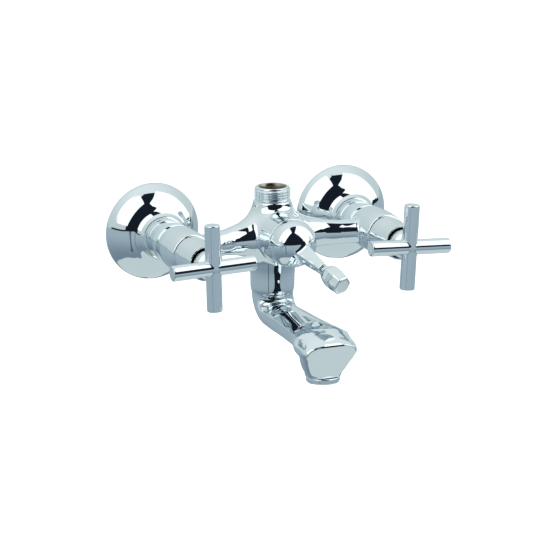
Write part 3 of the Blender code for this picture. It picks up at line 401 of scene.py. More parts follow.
def turned(name: str, outline: Outline, place: Matrix, segments: int = 144) -> bpy.types.Mesh:
    """Spins an outline about the local Z axis.

    Args:
        name: the mesh's name.
        outline: millimetre points, with corner radii.
        place: where the turned piece goes, in metres.
        segments: how many steps go round.

    Returns:
        The mesh, in place.
    """
    bm = bmesh.new()
    profile = rounded(outline)
    verts = [bm.verts.new((radius * MM, 0.0, along * MM)) for radius, along in profile]
    edges = [bm.edges.new(pair) for pair in zip(verts, verts[1:])]
    if profile[0][0] > 0.0 or profile[-1][0] > 0.0:
        edges.append(bm.edges.new((verts[-1], verts[0])))
    bmesh.ops.spin(
        bm, geom=verts + edges, cent=(0, 0, 0), axis=(0, 0, 1), angle=math.tau, steps=segments, use_merge=True
    )
    bmesh.ops.remove_doubles(bm, verts=bm.verts, dist=1e-7)
    bmesh.ops.transform(bm, matrix=place, verts=bm.verts)
    bmesh.ops.recalc_face_normals(bm, faces=bm.faces)
    mesh = bpy.data.meshes.new(name)
    bm.to_mesh(mesh)
    bm.free()
    mesh.shade_smooth()
    mesh.set_sharp_from_angle(angle=math.radians(32.0))
    return mesh


def sleeved(name: str, rings: Array, place: Matrix) -> bpy.types.Mesh:
    """Joins rings of points into a closed band, the last ring to the first one.

    Args:
        name: the mesh's name.
        rings: points as (ring, point, 3), in millimetres.
        place: where the piece goes, in metres.

    Returns:
        The mesh, in place.
    """
    count, around = rings.shape[:2]
    ids = np.arange(count * around).reshape(count, around)
    near, far = ids, np.roll(ids, -1, 0)
    quads = np.stack([near, np.roll(near, -1, 1), np.roll(far, -1, 1), far], axis=-1).reshape(-1, 4)
    bm = bmesh.new()
    verts = [bm.verts.new(point) for point in (rings.reshape(-1, 3) * MM).tolist()]
    for quad in quads.tolist():
        bm.faces.new([verts[i] for i in quad])
    bmesh.ops.transform(bm, matrix=place, verts=bm.verts)
    bmesh.ops.recalc_face_normals(bm, faces=bm.faces)
    mesh = bpy.data.meshes.new(name)
    bm.to_mesh(mesh)
    bm.free()
    mesh.shade_smooth()
    mesh.set_sharp_from_angle(angle=math.radians(40.0))
    return mesh


# --- Cast shapes as fields -----------------------------------------------------------------------
def join(a: Array, b: Array, radius: float) -> Array:
    """The union of two fields with a fillet."""
    share = np.maximum(radius - np.abs(a - b), 0.0) / radius
    return np.minimum(a, b) - share * share * radius * 0.25


def meet(a: Array, b: Array, radius: float) -> Array:
    """What two fields share, with a rounded edge."""
    return -join(-a, -b, radius)


class Curve:
    """A smooth curve through pairs of (place, value)."""

    def __init__(self, *points: tuple[float, float]) -> None:
        """Makes a fine table of a monotone cubic.

        Args:
            points: (place, value) in any order.
        """
        places, values = np.array(sorted(points), float).T
        steps = np.diff(places)
        rises = np.diff(values) / steps
        slopes = np.zeros(len(places))
        slopes[0], slopes[-1] = rises[0], rises[-1]
        product = rises[1:] * rises[:-1]
        weight = np.where(product > 0, 2 * product / (rises[1:] + rises[:-1] + 1e-12), 0.0)
        slopes[1:-1] = weight
        self.places = np.linspace(places[0], places[-1], 3000)
        index = np.clip(np.searchsorted(places, self.places, "right") - 1, 0, len(steps) - 1)
        t = (self.places - places[index]) / steps[index]
        ease = t * t * (3 - 2 * t)
        self.values = (
            values[index] * (1 - ease)
            + values[index + 1] * ease
            + steps[index] * (slopes[index] * t * (1 - t) ** 2 - slopes[index + 1] * t * t * (1 - t))
        )

    def __call__(self, places: Array) -> Array:
        """The values at some places."""
        return np.interp(places, self.places, self.values)


@dataclass
class Skin:
    """The zero surface of a field, as a mesh of small quads with exact normals."""

    name: str
    field: Field
    low: tuple[float, float, float]
    high: tuple[float, float, float]
    pitch: float

    def build(self, place: Matrix = Matrix.Identity(4)) -> bpy.types.Mesh:
        """Samples the field on a grid and joins the cells that the surface crosses.

        Args:
            place: a move of the finished mesh, in metres. Field places are (x, s, z) before it.

        Returns:
            The mesh.
        """
        axes = [np.arange(a, b + self.pitch, self.pitch) for a, b in zip(self.low, self.high)]
        x, s, z = np.meshgrid(*axes, indexing="ij", sparse=True)
        grid = np.ascontiguousarray(np.broadcast_to(self.field(x, s, z), [len(a) for a in axes]))
        inside = grid < 0
        shape = np.array(grid.shape) - 1
        count = np.zeros(shape, np.int8)
        corners = [(i, j, k) for i in (0, 1) for j in (0, 1) for k in (0, 1)]
        for i, j, k in corners:
            count += inside[i:i + shape[0], j:j + shape[1], k:k + shape[2]]
        cells = np.argwhere((count > 0) & (count < 8))
        ids = np.full(shape, -1, np.int64)
        ids[tuple(cells.T)] = np.arange(len(cells))
        values = {c: grid[tuple((cells + c).T)] for c in corners}
        total = np.zeros((len(cells), 3))
        hits = np.zeros((len(cells), 1))
        for a in corners:
            for axis in range(3):
                if a[axis]:
                    continue
                b = tuple(v + (n == axis) for n, v in enumerate(a))
                crossed = (values[a] < 0) != (values[b] < 0)
                share = np.where(crossed, values[a] / np.where(crossed, values[a] - values[b], 1.0), 0.0)
                spot = np.array(a, float) + share[:, None] * (np.array(b) - np.array(a))
                total += spot * crossed[:, None]
                hits += crossed[:, None]
        points = (cells + total / hits) * self.pitch + np.array(self.low)
        quads = []
        for axis in range(3):
            u, v = (axis + 1) % 3, (axis + 2) % 3
            first = np.take(inside, range(shape[axis]), axis)
            second = np.take(inside, range(1, shape[axis] + 1), axis)
            for start, flip in ((first & ~second, False), (~first & second, True)):
                at = np.argwhere(start)
                keep = (at[:, u] > 0) & (at[:, v] > 0) & (at[:, u] < shape[u]) & (at[:, v] < shape[v])
                at = at[keep]
                unit_u, unit_v = np.eye(3, dtype=int)[u], np.eye(3, dtype=int)[v]
                around = [at - unit_u - unit_v, at - unit_v, at, at - unit_u]
                quad = np.stack([ids[tuple(c.T)] for c in around], axis=-1)
                quads.append(quad[:, ::-1] if flip else quad)
        faces = np.concatenate(quads)
        points, normals = self.settled(points)
        return self.mesh(points, normals, faces, place)

    def slope(self, points: Array, step: float = 0.06) -> Array:
        """The field's gradient at some points."""
        parts = []
        for axis in range(3):
            shift = np.eye(3)[axis] * step
            ahead, behind = (points + shift).T, (points - shift).T
            parts.append((self.field(*ahead) - self.field(*behind)) / (2 * step))
        return np.stack(parts, axis=-1)

    def settled(self, points: Array) -> tuple[Array, Array]:
        """Moves points onto the surface.

        Args:
            points: points near the surface.

        Returns:
            The moved points and the surface's normals there.
        """
        start = points.copy()
        for _ in range(3):
            slope = self.slope(points)
            size = np.maximum((slope**2).sum(1, keepdims=True), 0.05)
            points = points - slope * self.field(*points.T)[:, None] / size
            points = start + np.clip(points - start, -0.6 * self.pitch, 0.6 * self.pitch)
        slope = self.slope(points)
        return points, slope / np.maximum(np.linalg.norm(slope, axis=1, keepdims=True), 1e-9)

    def mesh(self, points: Array, normals: Array, faces: Array, place: Matrix) -> bpy.types.Mesh:
        """Writes points and faces into a mesh with its own normals."""
        flip = np.array([1.0, -1.0, 1.0])  # s runs along -Y
        turn = np.array(place, float)
        points = (points * flip * MM) @ turn[:3, :3].T + turn[:3, 3]
        normals = (normals * flip) @ turn[:3, :3].T
        made = bpy.data.meshes.new(self.name)
        made.vertices.add(len(points))
        made.vertices.foreach_set("co", points.astype(np.float32).ravel())
        made.loops.add(faces.size)
        made.loops.foreach_set("vertex_index", faces[:, ::-1].astype(np.int32).ravel())
        made.polygons.add(len(faces))
        made.polygons.foreach_set("loop_start", np.arange(0, faces.size, 4, dtype=np.int32))
        made.update(calc_edges=True)
        made.validate()
        made.shade_smooth()
        made.normals_split_custom_set_from_vertices(normals.astype(np.float32).tolist())
        return made


def middle_of(node: str) -> Vector:
    """The middle of a CAD node's box, in millimetres, with s in place of y."""
    low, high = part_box(node)
    middle = (low + high) / 2.0 / MM
    return Vector((middle.x, -middle.y, middle.z))


# --- The cast body -------------------------------------------------------------------------------
@dataclass
class Body:
    """The casting: two valve chambers, cross arms, hub with bell neck, diverter boss, barrel and spout."""

    valve: float
    hub: float
    boss_height: float
    outlet: float
    pitch: float = 0.7
    bell_top: float = 26.3
    chamber_back: float = 45.0
    chamber_front: float = 80.5
    boss_front: float = 81.6
    arm_level: float = -56.0
    bend: float = 15.0
    barrel_foot: float = -41.0
    head_base: float = -80.6
    facet_ahead: float = 16.1
    facet_height: float = -59.0
    facet_lean: float = 16.6
    top_bore: float = 9.9
    plug_bore: float = 10.9
    plug_floor: float = 33.5
    valve_bore: float = 11.0
    valve_seat: float = 54.0
    seat_port: float = 5.0
    nipple_bore: float = 8.5
    nipple_end: float = 52.0
    arm_bore: float = 4.6
    spout_bore: float = 6.2
    outlet_bore: float = 6.0
    aerator_bore: float = 8.5
    aerator_depth: float = 7.6
    side_room: float = 16.6
    nearest: tuple[float, float] = (26.3, -81.4)
    farthest: tuple[float, float] = (153.0, 27.2)

    def __post_init__(self) -> None:
        """Makes the curves of the turned and lofted parts."""
        self.chamber_radius = Curve(
            (45.0, 14.6), (48.0, 15.1), (53.0, 15.6), (61.0, 15.9), (69.5, 15.9), (75.5, 15.6), (80.5, 14.8)
        )
        self.arm_centre = Curve(
            (0.0, 49.5), (20.0, 49.5), (34.0, 51.9), (48.0, 56.6), (62.0, 59.0), (75.0, 59.0)
        )
        self.arm_radius = Curve(
            (0.0, 14.6), (20.0, 14.0), (26.0, 12.1), (32.0, 10.6), (40.0, 9.35), (50.0, 8.7), (62.0, 8.6),
            (75.0, 8.6),
        )
        self.hub_radius = Curve(
            (27.0, 13.7), (25.2, 13.9), (22.6, 14.45), (19.6, 15.5), (15.8, 17.25), (11.2, 18.95),
            (5.2, 19.8), (-3.8, 19.8), (-11.8, 19.0), (-18.8, 17.7), (-25.8, 16.4), (-30.0, 16.1),
            (-36.0, 16.0), (-42.0, 15.6),
        )
        self.boss_radius = Curve((50.0, 18.9), (62.0, 18.4), (70.0, 17.8), (76.0, 17.5), (82.0, 17.4))
        self.half_width = Curve(
            (0.0, 15.2), (23.0, 14.9), (50.0, 15.4), (72.0, 17.0), (95.0, 19.4), (110.0, 20.0)
        )
        self.rise = Curve((0.0, 15.2), (8.0, 12.6), (23.0, 8.9), (110.0, 8.9))
        self.drop = Curve((0.0, 15.2), (8.0, 12.8), (23.0, 9.6), (60.0, 9.4), (110.0, 9.0))
        crown = self.arm_level + 9.4
        base = self.head_base
        rows = (
            (crown + 0.9, 0.0, 0.0, 13.5), (crown, 5.5, 5.0, 13.0), (crown - 1.2, 10.6, 9.5, 9.5),
            (crown - 3.8, 15.2, 14.0, 5.4), (crown - 7.6, 19.1, 17.6, 1.6), (crown - 11.4, 21.3, 19.0, -1.4),
            (crown - 14.0, 21.5, 18.4, -3.0), (crown - 17.9, 19.4, 15.6, -4.8),
            (base + 11.6, 17.6, 14.6, -2.4), (base + 6.1, 15.2, 14.0, -0.6),
            (base + 2.0, 13.0, 13.0, 0.0), (base - 1.0, 12.5, 12.5, 0.0),
        )
        self.head_width = Curve(*[(z, w * w) for z, w, _, _ in rows])
        self.head_length = Curve(*[(z, l * l) for z, _, l, _ in rows])
        self.head_centre = Curve(*[(z, behind) for z, _, _, behind in rows])

    def chambers(self, x: Array, s: Array, z: Array) -> Array:
        """Both valve chambers."""
        radius = np.hypot(np.abs(x) - self.valve, z)
        side = radius - self.chamber_radius(s)
        return meet(side, np.maximum(s - self.chamber_front, self.chamber_back - s), 1.6)

    def arms(self, x: Array, s: Array, z: Array) -> Array:
        """Both cross arms."""
        reach = np.abs(x)
        side = np.hypot(s - self.arm_centre(reach), z) - self.arm_radius(reach)
        return np.maximum(side, reach - self.valve)

    def hub_and_neck(self, x: Array, s: Array, z: Array) -> Array:
        """The hub with its bell neck."""
        side = (np.hypot(x, s - self.hub) - self.hub_radius(z)) * 0.95
        return meet(meet(side, z - self.bell_top, 1.4), self.barrel_foot - z, 3.0)

    def boss(self, x: Array, s: Array, z: Array) -> Array:
        """The diverter's boss."""
        side = np.hypot(x, z - self.boss_height) - self.boss_radius(s)
        return meet(side, np.maximum(s - self.boss_front, self.hub - s), 1.0)

    def along(self, s: Array, z: Array) -> tuple[Array, Array]:
        """The way along the spout's middle line from the start of its bend, and the height over that line."""
        centre_s, centre_z = self.hub + self.bend, self.arm_level + self.bend
        angle = np.arctan2(centre_z - z, centre_s - s)
        angle = np.clip(angle, 0.0, math.pi / 2.0)
        on_bend = (s < centre_s) & (z < centre_z)
        flat = s >= centre_s
        radius = np.hypot(s - centre_s, z - centre_z)
        before_arm = np.where(on_bend, self.bend * angle, 0.0)
        way = np.where(flat, self.bend * math.pi / 2.0 + s - centre_s, before_arm)
        over = np.where(flat, z - self.arm_level, np.where(on_bend, self.bend - radius, s - self.hub))
        return way, over

    def spout(self, x: Array, s: Array, z: Array) -> Array:
        """The barrel, the bend and the arm with a narrow flat top, sloping shoulders and a full underside."""
        way, over = self.along(s, z)
        width, rise, drop = self.half_width(way), self.rise(way), self.drop(way)
        flatness = np.clip((way - 4.0) / 34.0, 0.0, 1.0)
        flatness = flatness * flatness * (3.0 - 2.0 * flatness)
        side = np.abs(x) / width
        height = np.where(over > 0, over / rise, over / drop)
        oval = np.sqrt(side**2 + height**2)
        square = (side**2.6 + np.abs(height) ** 2.6) ** (1 / 2.6)
        lower = oval * (1 - flatness) + square * flatness
        shoulder = np.maximum(side, 0.62 * side + 0.80 * height)
        roof = meet(shoulder, height, 0.30)
        upper = oval * (1 - flatness) + np.maximum(roof, 0.86 * oval) * flatness
        ratio = np.where(over > 0, upper, lower)
        body = (ratio - 1.0) * np.minimum(rise, 12.0)
        end = s - (self.outlet + 2.0)
        return meet(np.maximum(body, z + 18.0), end, 4.0)

    def head(self, x: Array, s: Array, z: Array) -> Array:
        """The spout's head, crowned above and narrowed to the aerator's collar, with a flat front."""
        width = np.maximum(self.head_width(z), 0.4)
        length = np.maximum(self.head_length(z), 0.4)
        offset = s - self.outlet + self.head_centre(z)
        across, ahead = np.sqrt(x * x / width), np.abs(offset) / np.sqrt(length)
        square = np.where(offset > 0, 2.0 + 0.9 * np.clip((z - self.head_base) / 12.0, 0.0, 1.0), 2.0)
        oval = (across**square + ahead**square) ** (1.0 / square)
        side = (oval - 1.0) * np.minimum(np.sqrt(width), np.sqrt(length))
        lean = math.radians(self.facet_lean)
        ahead_of_facet = (s - self.outlet - self.facet_ahead) * math.cos(lean)
        front = ahead_of_facet - (z - self.facet_height) * math.sin(lean)
        solid = meet(side, front, 0.5)
        return meet(solid, np.maximum(self.head_base - z, z - self.arm_level - 10.3), 0.5)

    def ways(self, x: Array, s: Array, z: Array) -> Array:
        """The bores and ducts."""
        reach = np.abs(x)
        from_hub = np.hypot(x, s - self.hub)
        from_valve = np.hypot(reach - self.valve, z)
        from_outlet = np.hypot(x, s - self.outlet)
        way, over = self.along(s, z)
        return reduce(np.minimum, (
            np.maximum(from_hub - self.top_bore, -26.0 - z),
            np.maximum(np.hypot(x, z - self.boss_height) - self.plug_bore, self.plug_floor - s),
            np.maximum(from_valve - self.valve_bore, self.valve_seat - s),
            from_valve - self.seat_port,
            np.maximum(from_valve - self.nipple_bore, s - self.nipple_end),
            np.maximum(np.hypot(s - self.arm_centre(reach), z) - self.arm_bore, reach - self.valve),
            np.maximum(np.hypot(x, over) - self.spout_bore, np.maximum(z + 20.0, s - self.outlet)),
            np.maximum(from_outlet - self.outlet_bore, z - self.arm_level),
            np.maximum(from_outlet - self.aerator_bore, z - (self.head_base + self.aerator_depth)),
        ))

    def field(self, x: Array, s: Array, z: Array) -> Array:
        """The whole casting, negative inside."""
        hub = join(self.hub_and_neck(x, s, z), self.arms(x, s, z), 7.0)
        hub = join(hub, self.boss(x, s, z), 3.2)
        hub = join(hub, self.chambers(x, s, z), 2.2)
        spout = join(self.spout(x, s, z), self.head(x, s, z), 3.0)
        solid = join(hub, spout, 0.9)
        return meet(solid, -self.ways(x, s, z), 0.5)

    def build(self) -> None:
        """Makes the casting."""
        reach = self.valve + self.side_room
        low, high = (-reach, *self.nearest), (reach, *self.farthest)
        skin = Skin("faucet_casting", self.field, low, high, self.pitch)
        add_piece(skin.build(), CHROME, "fixture", ["body"])


@dataclass
class Outlet:
    """The threaded spigot on top of the hub, with its bare bore, which takes a darker brass as painted shade.
    """

    hub: float
    top: float
    foot: float = 23.0
    crest: float = 13.22
    depth: float = 1.05
    start: float = 26.9
    bore: float = 9.9
    around: int = 144

    def build(self) -> None:
        """Makes the spigot with a true helical thread."""
        angles = np.linspace(0, math.tau, self.around, endpoint=False)
        heights = np.arange(self.start, self.top - 0.7, 0.12)
        rows = [
            (self.crest - 0.6, self.foot), (self.crest - 0.6, self.start - 0.5),
            (self.crest - 1.0, self.start - 0.1),
        ]
        rings = [self.ring(np.full(self.around, r), h, angles) for r, h in rows]
        for height in heights:
            turn = (height / PIPE_PITCH - angles / math.tau) * math.tau
            groove = (0.5 - 0.5 * np.cos(turn)) ** 0.75
            fade = min(1.0, (height - self.start) / 1.0 + 0.25)
            lead = min(1.0, max(0.0, (self.top - 0.7 - height) / 0.9))
            radius = self.crest - self.depth * (1 - (1 - groove) * fade * lead)
            rings.append(self.ring(radius, height, angles))
        edge = self.crest - self.depth
        rows = [(edge, self.top - 0.6), (edge - 0.1, self.top - 0.25), (edge - 0.35, self.top - 0.05),
                (edge - 0.6, self.top), (self.bore + 0.5, self.top), (self.bore + 0.2, self.top - 0.1),
                (self.bore, self.top - 0.35), (self.bore, self.top - 5.0), (self.bore, self.foot)]
        rings += [self.ring(np.full(self.around, r), h, angles) for r, h in rows]
        mesh = sleeved("top_outlet", np.stack(rings), Matrix.Identity(4))
        piece = add_piece(mesh, CHROME, "fixture", ["body"])
        # The bore's faces take the darker brass copy: painted shade inside the bore.
        piece.data.materials.append(SHADED_BRASS.material())
        for face in piece.data.polygons:
            spot = Vector((face.center.x, face.center.y + self.hub * MM))
            face.material_index = int(spot.length < (self.bore + 0.1) * MM)

    def ring(self, radius: Array, height: float, angles: Array) -> Array:
        """One ring of points round the hub's axis."""
        return np.stack([
            radius * np.cos(angles), radius * np.sin(angles) - self.hub, np.full(len(angles), height)
        ], axis=-1)


# --- One valve -----------------------------------------------------------------------------------
@dataclass
class Valve:
    """Everything on one inlet, from the wall to the cross handle."""

    side: Side
    axis: float
    tilt: float
    plate_radius: float = 35.5
    plate_depth: float = 25.2
    nut_radius: float = 14.7
    nut_back: float = 20.5
    nut_front: float = 44.7
    sleeve_back: float = 80.8
    sleeve_end: float = 105.0
    stem_radius: float = 10.4
    stem_back: float = 96.0
    bar_station: float = 118.4
    bar_radius: float = 5.5
    bar_half: float = 30.85
    tail_offset: float = 8.0
    tail_radius: float = 10.4
    tail_depth: float = 14.0
    front_radius: float = 12.9
    union_face: float = 35.6
    union_bore: float = 6.5
    step_start: float = 7.0
    step_length: float = 9.0

    def __post_init__(self) -> None:
        """Makes the curve of the handle's stem."""
        r = self.stem_radius
        self.stem = Curve(
            (self.stem_back - 1.0, r), (110.0, r), (112.0, 9.9), (113.8, 8.6), (116.0, 6.2),
            (self.bar_station, 4.0),
        )

    def place(self) -> Matrix:
        """The valve's own frame, with +Z to the front."""
        return Matrix.Translation((self.axis * MM, 0.0, 0.0)) @ FORWARD

    def escutcheon(self) -> None:
        """The thin bell over the hole in the wall."""
        r, d = self.plate_radius, self.plate_depth
        opening = self.nut_radius + 0.9
        outer = flowing([
            (opening + 0.2, d - 0.3), (opening + 0.7, d - 2.0), (opening + 1.8, d - 4.1),
            (opening + 3.9, d - 6.2), (r - 12.6, d - 8.2), (r - 8.8, d - 10.9), (r - 5.6, d - 14.2),
            (r - 3.0, d - 17.8), (r - 1.2, d - 20.6), (r - 0.2, d - 22.6), (r, d - 24.2),
        ])
        inner = flowing([
            (r - 1.3, d - 23.0), (r - 3.9, d - 18.9), (r - 9.8, d - 12.2), (r - 14.0, d - 9.2),
            (opening + 2.2, d - 6.2), (opening - 0.2, d - 1.6),
        ])
        outline = [(opening - 0.3, d - 0.1, 0.1), *outer, (r, 0.0, 0.2), (r - 1.2, 0.0, 0.2), *inner]
        mesh = turned("wall_flange_" + self.side.word, outline, self.place(), 200)
        add_piece(mesh, CHROME, "fixture", ["escutcheon_" + self.side.word])

    def nut(self) -> None:
        """The round union nut."""
        r, back, front = self.nut_radius, self.nut_back, self.nut_front
        outline = [
            (8.7, front, 0.2), (r - 1.1, front, 0.5), (r - 0.55, front - 0.9, 0.8),
            (r - 0.15, front - 5.0, 4.0), (r, (front + back) / 2.0, 6.0), (r - 0.15, back + 5.0, 4.0),
            (r - 0.6, back, 0.4),
            (13.2, back, 0.3), (13.2, front - 5.9, 0.2), (8.7, front - 5.9, 0.2),
        ]
        mesh = turned("collar_nut_" + self.side.word, outline, self.place())
        add_piece(mesh, CHROME, "fixture", ["union_nut_" + self.side.word])

    def union(self) -> None:
        """The offset wall union, with a pipe thread on its tail and on its front."""
        angles = np.linspace(0, math.tau, 96, endpoint=False)
        rings = []
        for station in np.arange(-self.tail_depth, self.union_face + 0.01, 0.2):
            stepped = self.stepped(station)
            radius = np.full(len(angles), self.tail_radius + (self.front_radius - self.tail_radius) * stepped)
            groove = 1.0
            if -13.4 < station < 3.0 or 20.0 < station < 35.0:
                turn = (station / PIPE_PITCH - angles / math.tau) * math.tau
                groove = (0.5 - 0.5 * np.cos(turn)) ** 0.75
            rings.append(self.offset_ring(radius - groove, station, stepped, angles))
        for station in (self.union_face, 30.0, 16.0, 13.75, 11.5, 9.25, 7.0, 0.0, -self.tail_depth):
            bore = np.full(len(angles), self.union_bore)
            rings.append(self.offset_ring(bore, station, self.stepped(station), angles))
        mesh = sleeved("offset_union_" + self.side.word, np.stack(rings), self.place())
        add_piece(mesh, BRASS, "fixture", ["wall_union_" + self.side.word])

    def stepped(self, station: float) -> float:
        """How far the union has stepped over to the valve's axis, from 0 to 1."""
        share = min(1.0, max(0.0, (station - self.step_start) / self.step_length))
        return share * share * (3 - 2 * share)

    def offset_ring(self, radius: Array, station: float, stepped: float, angles: Array) -> Array:
        """One ring round the line that steps from the pipe's axis to the valve's axis."""
        low = -self.tail_offset * (1 - stepped)
        return np.stack([
            radius * np.cos(angles), radius * np.sin(angles) + low, np.full(len(angles), station)
        ], axis=-1)

    def sleeve(self) -> None:
        """The tapered sleeve in front of the chamber."""
        back, end = self.sleeve_back, self.sleeve_end
        outline = [
            (11.45, end, 0.3), (12.5, end, 0.45), (12.85, end - 10.0, 8.0), (13.55, back + 7.0, 6.0),
            (13.95, back, 0.5), (12.75, back, 0.1), (12.75, back + 3.6, 0.2), (11.45, back + 5.4, 0.4),
        ]
        mesh = turned("tapered_sleeve_" + self.side.word, outline, self.place())
        add_piece(mesh, CHROME, "fixture", ["handle_sleeve_" + self.side.word])

    def cross_field(self, x: Array, s: Array, z: Array) -> Array:
        """Two round bars crossed on the stem."""
        ahead = s - self.bar_station
        across = meet(np.hypot(ahead, z) - self.bar_radius, np.abs(x) - self.bar_half, 1.1)
        upright = meet(np.hypot(ahead, x) - self.bar_radius, np.abs(z) - self.bar_half, 1.1)
        out = np.hypot(x, z)
        stem = meet(out - self.stem(s), np.maximum(self.stem_back - s, s - self.bar_station), 0.8)
        solid = join(join(across, upright, 0.5), stem, 1.6)
        socket = np.maximum(out - 6.1, s - 108.3)
        grub = np.maximum(np.hypot(x, s - 109.0) - 1.9, z + 3.0)
        return meet(solid, -np.minimum(socket, grub), 0.35)

    def cross(self) -> None:
        """The cross handle."""
        reach = self.bar_half + 0.9
        low, high = (-reach, self.stem_back - 0.8, -reach), (reach, self.bar_station + 6.4, reach)
        skin = Skin("cross_" + self.side.word, self.cross_field, low, high, 0.55)
        turn = Matrix.Translation((self.axis * MM, 0.0, 0.0)) @ Matrix.Rotation(-self.tilt, 4, "Y")
        add_piece(skin.build(turn), CHROME, "handle_" + self.side.word, ["cross_handle_" + self.side.word])

    def build(self) -> None:
        """Makes every piece of this valve."""
        self.escutcheon()
        self.union()
        self.nut()
        self.sleeve()
        self.cross()


# --- Diverter ------------------------------------------------------------------------------------
@dataclass
class Diverter:
    """The dome with its lever, and the six-sided knob on the lever's end."""

    height: float
    dome_radius: float = 17.1
    dome_apex: float = 98.6
    dome_back: float = 81.9
    skirt_end: float = 84.3
    skirt_bore: float = 14.9
    pivot: float = 84.0
    lean: float = 26.4
    turn: float = -53.0
    shoulder: float = 35.4
    knob_start: float = 35.7
    knob_length: float = 21.6

    def __post_init__(self) -> None:
        """Makes the curves and the lever's directions."""
        lean = Matrix.Rotation(math.radians(self.lean), 3, "Y")
        turned_lean = Matrix.Rotation(math.radians(self.turn), 3, "Z") @ lean
        self.directions = [tuple(turned_lean.col[i]) for i in range(3)]
        self.lever_height = Curve((4.0, 6.8), (11.0, 6.5), (23.0, 5.5), (35.0, 4.6), (44.0, 4.5))
        self.lever_width = Curve((4.0, 6.1), (11.0, 5.8), (23.0, 4.6), (35.0, 3.5), (44.0, 3.4))
        k = self.knob_start
        self.knob_apothem = Curve(
            (k - 1.0, 4.0), (k, 4.1), (k + 1.6, 4.5), (k + 5.0, 6.1), (k + 7.8, 7.0), (k + 10.5, 7.1),
            (k + 13.4, 7.0), (k + 17.0, 6.65), (k + 22.0, 6.2),
        )

    def lever_place(self, x: Array, s: Array, z: Array) -> tuple[Array, Array, Array]:
        """A place in the lever's frame: out of its flat top and back, across, and along."""
        ahead, up = s - self.pivot, z - self.height
        return tuple(x * d[0] + up * d[1] + ahead * d[2] for d in self.directions)

    def handle_field(self, x: Array, s: Array, z: Array) -> Array:
        """The hollow dome and its lever in one casting."""
        out = np.hypot(x, z - self.height)
        ahead = np.maximum(s - self.skirt_end, 0.0)
        oval = np.sqrt((out / self.dome_radius) ** 2 + (ahead / (self.dome_apex - self.skirt_end)) ** 2)
        dome = meet((oval - 1.0) * 15.0, self.dome_back - s, 0.9)
        thick, across, along = self.lever_place(x, s, z)
        height, width = self.lever_height(along), self.lever_width(along)
        section = meet(np.abs(thick) - height, np.abs(across) - width, 2.0)
        lever = meet(section, np.maximum(along - self.shoulder, 9.0 - along), 1.2)
        stud = np.maximum(np.hypot(thick, across) - 1.9, np.maximum(along - 43.0, 30.0 - along))
        solid = join(join(dome, lever, 1.8), stud, 0.3)
        shell = np.maximum(out - self.skirt_bore, s - 83.9)
        crown = np.maximum(out - 8.5 - np.maximum(0.0, 87.5 - s) * 1.8, s - 88.0)
        hollow = np.minimum(shell, np.maximum(crown, out - self.skirt_bore))
        shaft = np.maximum(out - 4.7, s - 92.9)
        grub = np.maximum(np.hypot(x, s - 90.3) - 1.9, z - self.height + 3.0)
        return meet(solid, -np.minimum(np.minimum(hollow, shaft), grub), 0.35)

    def knob_field(self, x: Array, s: Array, z: Array) -> Array:
        """The six-sided knob, round at its neck."""
        thick, across, along = self.lever_place(x, s, z)
        flats = None
        for angle in (30.0, 90.0, 150.0):
            c, n = math.cos(math.radians(angle)), math.sin(math.radians(angle))
            flat = np.abs(thick * c + across * n)
            flats = flat if flats is None else meet(flats, flat, 1.0)
        facet = np.clip((along - self.knob_start) / 5.0, 0.0, 1.0)
        around = np.hypot(thick, across)
        size = flats * facet + around * (1 - facet)
        side = (size - self.knob_apothem(along)) * 0.93
        end = self.knob_start + self.knob_length
        solid = meet(side, np.maximum(along - end, self.knob_start - along), 1.3)
        hole = np.maximum(around - 2.2, along - self.knob_start - 8.3)
        return meet(solid, -hole, 0.3)

    def build(self) -> None:
        """Makes the diverter's two shown pieces."""
        low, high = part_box("diverter_handle")
        handle = Skin("diverter_dome", self.handle_field, *self.limits(low, high), 0.55)
        add_piece(handle.build(), CHROME, "diverter", ["diverter_handle"])
        low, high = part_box("diverter_knob")
        knob = Skin("lever_knob", self.knob_field, *self.limits(low, high), 0.4)
        add_piece(knob.build(), CHROME, "diverter", ["diverter_knob"])

    def limits(self, low: Vector, high: Vector) -> tuple[tuple[float, ...], tuple[float, ...]]:
        """A node's box as field corners, a little wider."""
        near = (low.x / MM - 1.5, -high.y / MM - 1.5, low.z / MM - 1.5)
        far = (high.x / MM + 1.5, -low.y / MM + 1.5, high.z / MM + 1.5)
        return near, far


# --- Aerator -------------------------------------------------------------------------------------
@dataclass
class Aerator:
    """The aerator's housing under the spout's head."""

    outlet: float
    base: float = -80.6
    radius: float = 12.0
    band: float = 4.1
    thread: float = 8.2

    def build(self) -> None:
        """Makes the housing."""
        top = self.base - 0.3
        bottom = top - self.band
        outline = [
            (7.2, self.base + 5.6, 0.2), (self.thread, self.base + 5.6, 0.3), (self.thread, top, 0.2),
            (self.radius - 0.25, top, 0.25), (self.radius, top - 0.5, 0.3), (self.radius, bottom + 1.0, 0.5),
            (self.radius - 0.8, bottom, 0.35), (self.radius - 2.0, bottom, 0.2),
            (self.radius - 2.4, bottom + 0.5, 0.2), (7.4, bottom + 0.5, 0.2), (6.2, bottom + 0.1, 0.15),
            (6.2, bottom + 1.2, 0.1), (7.2, bottom + 1.2, 0.1),
        ]
        place = Matrix.Translation((0.0, -self.outlet * MM, 0.0))
        add_piece(turned("aerator_shell", outline, place), CHROME, "fixture", ["aerator_housing"])


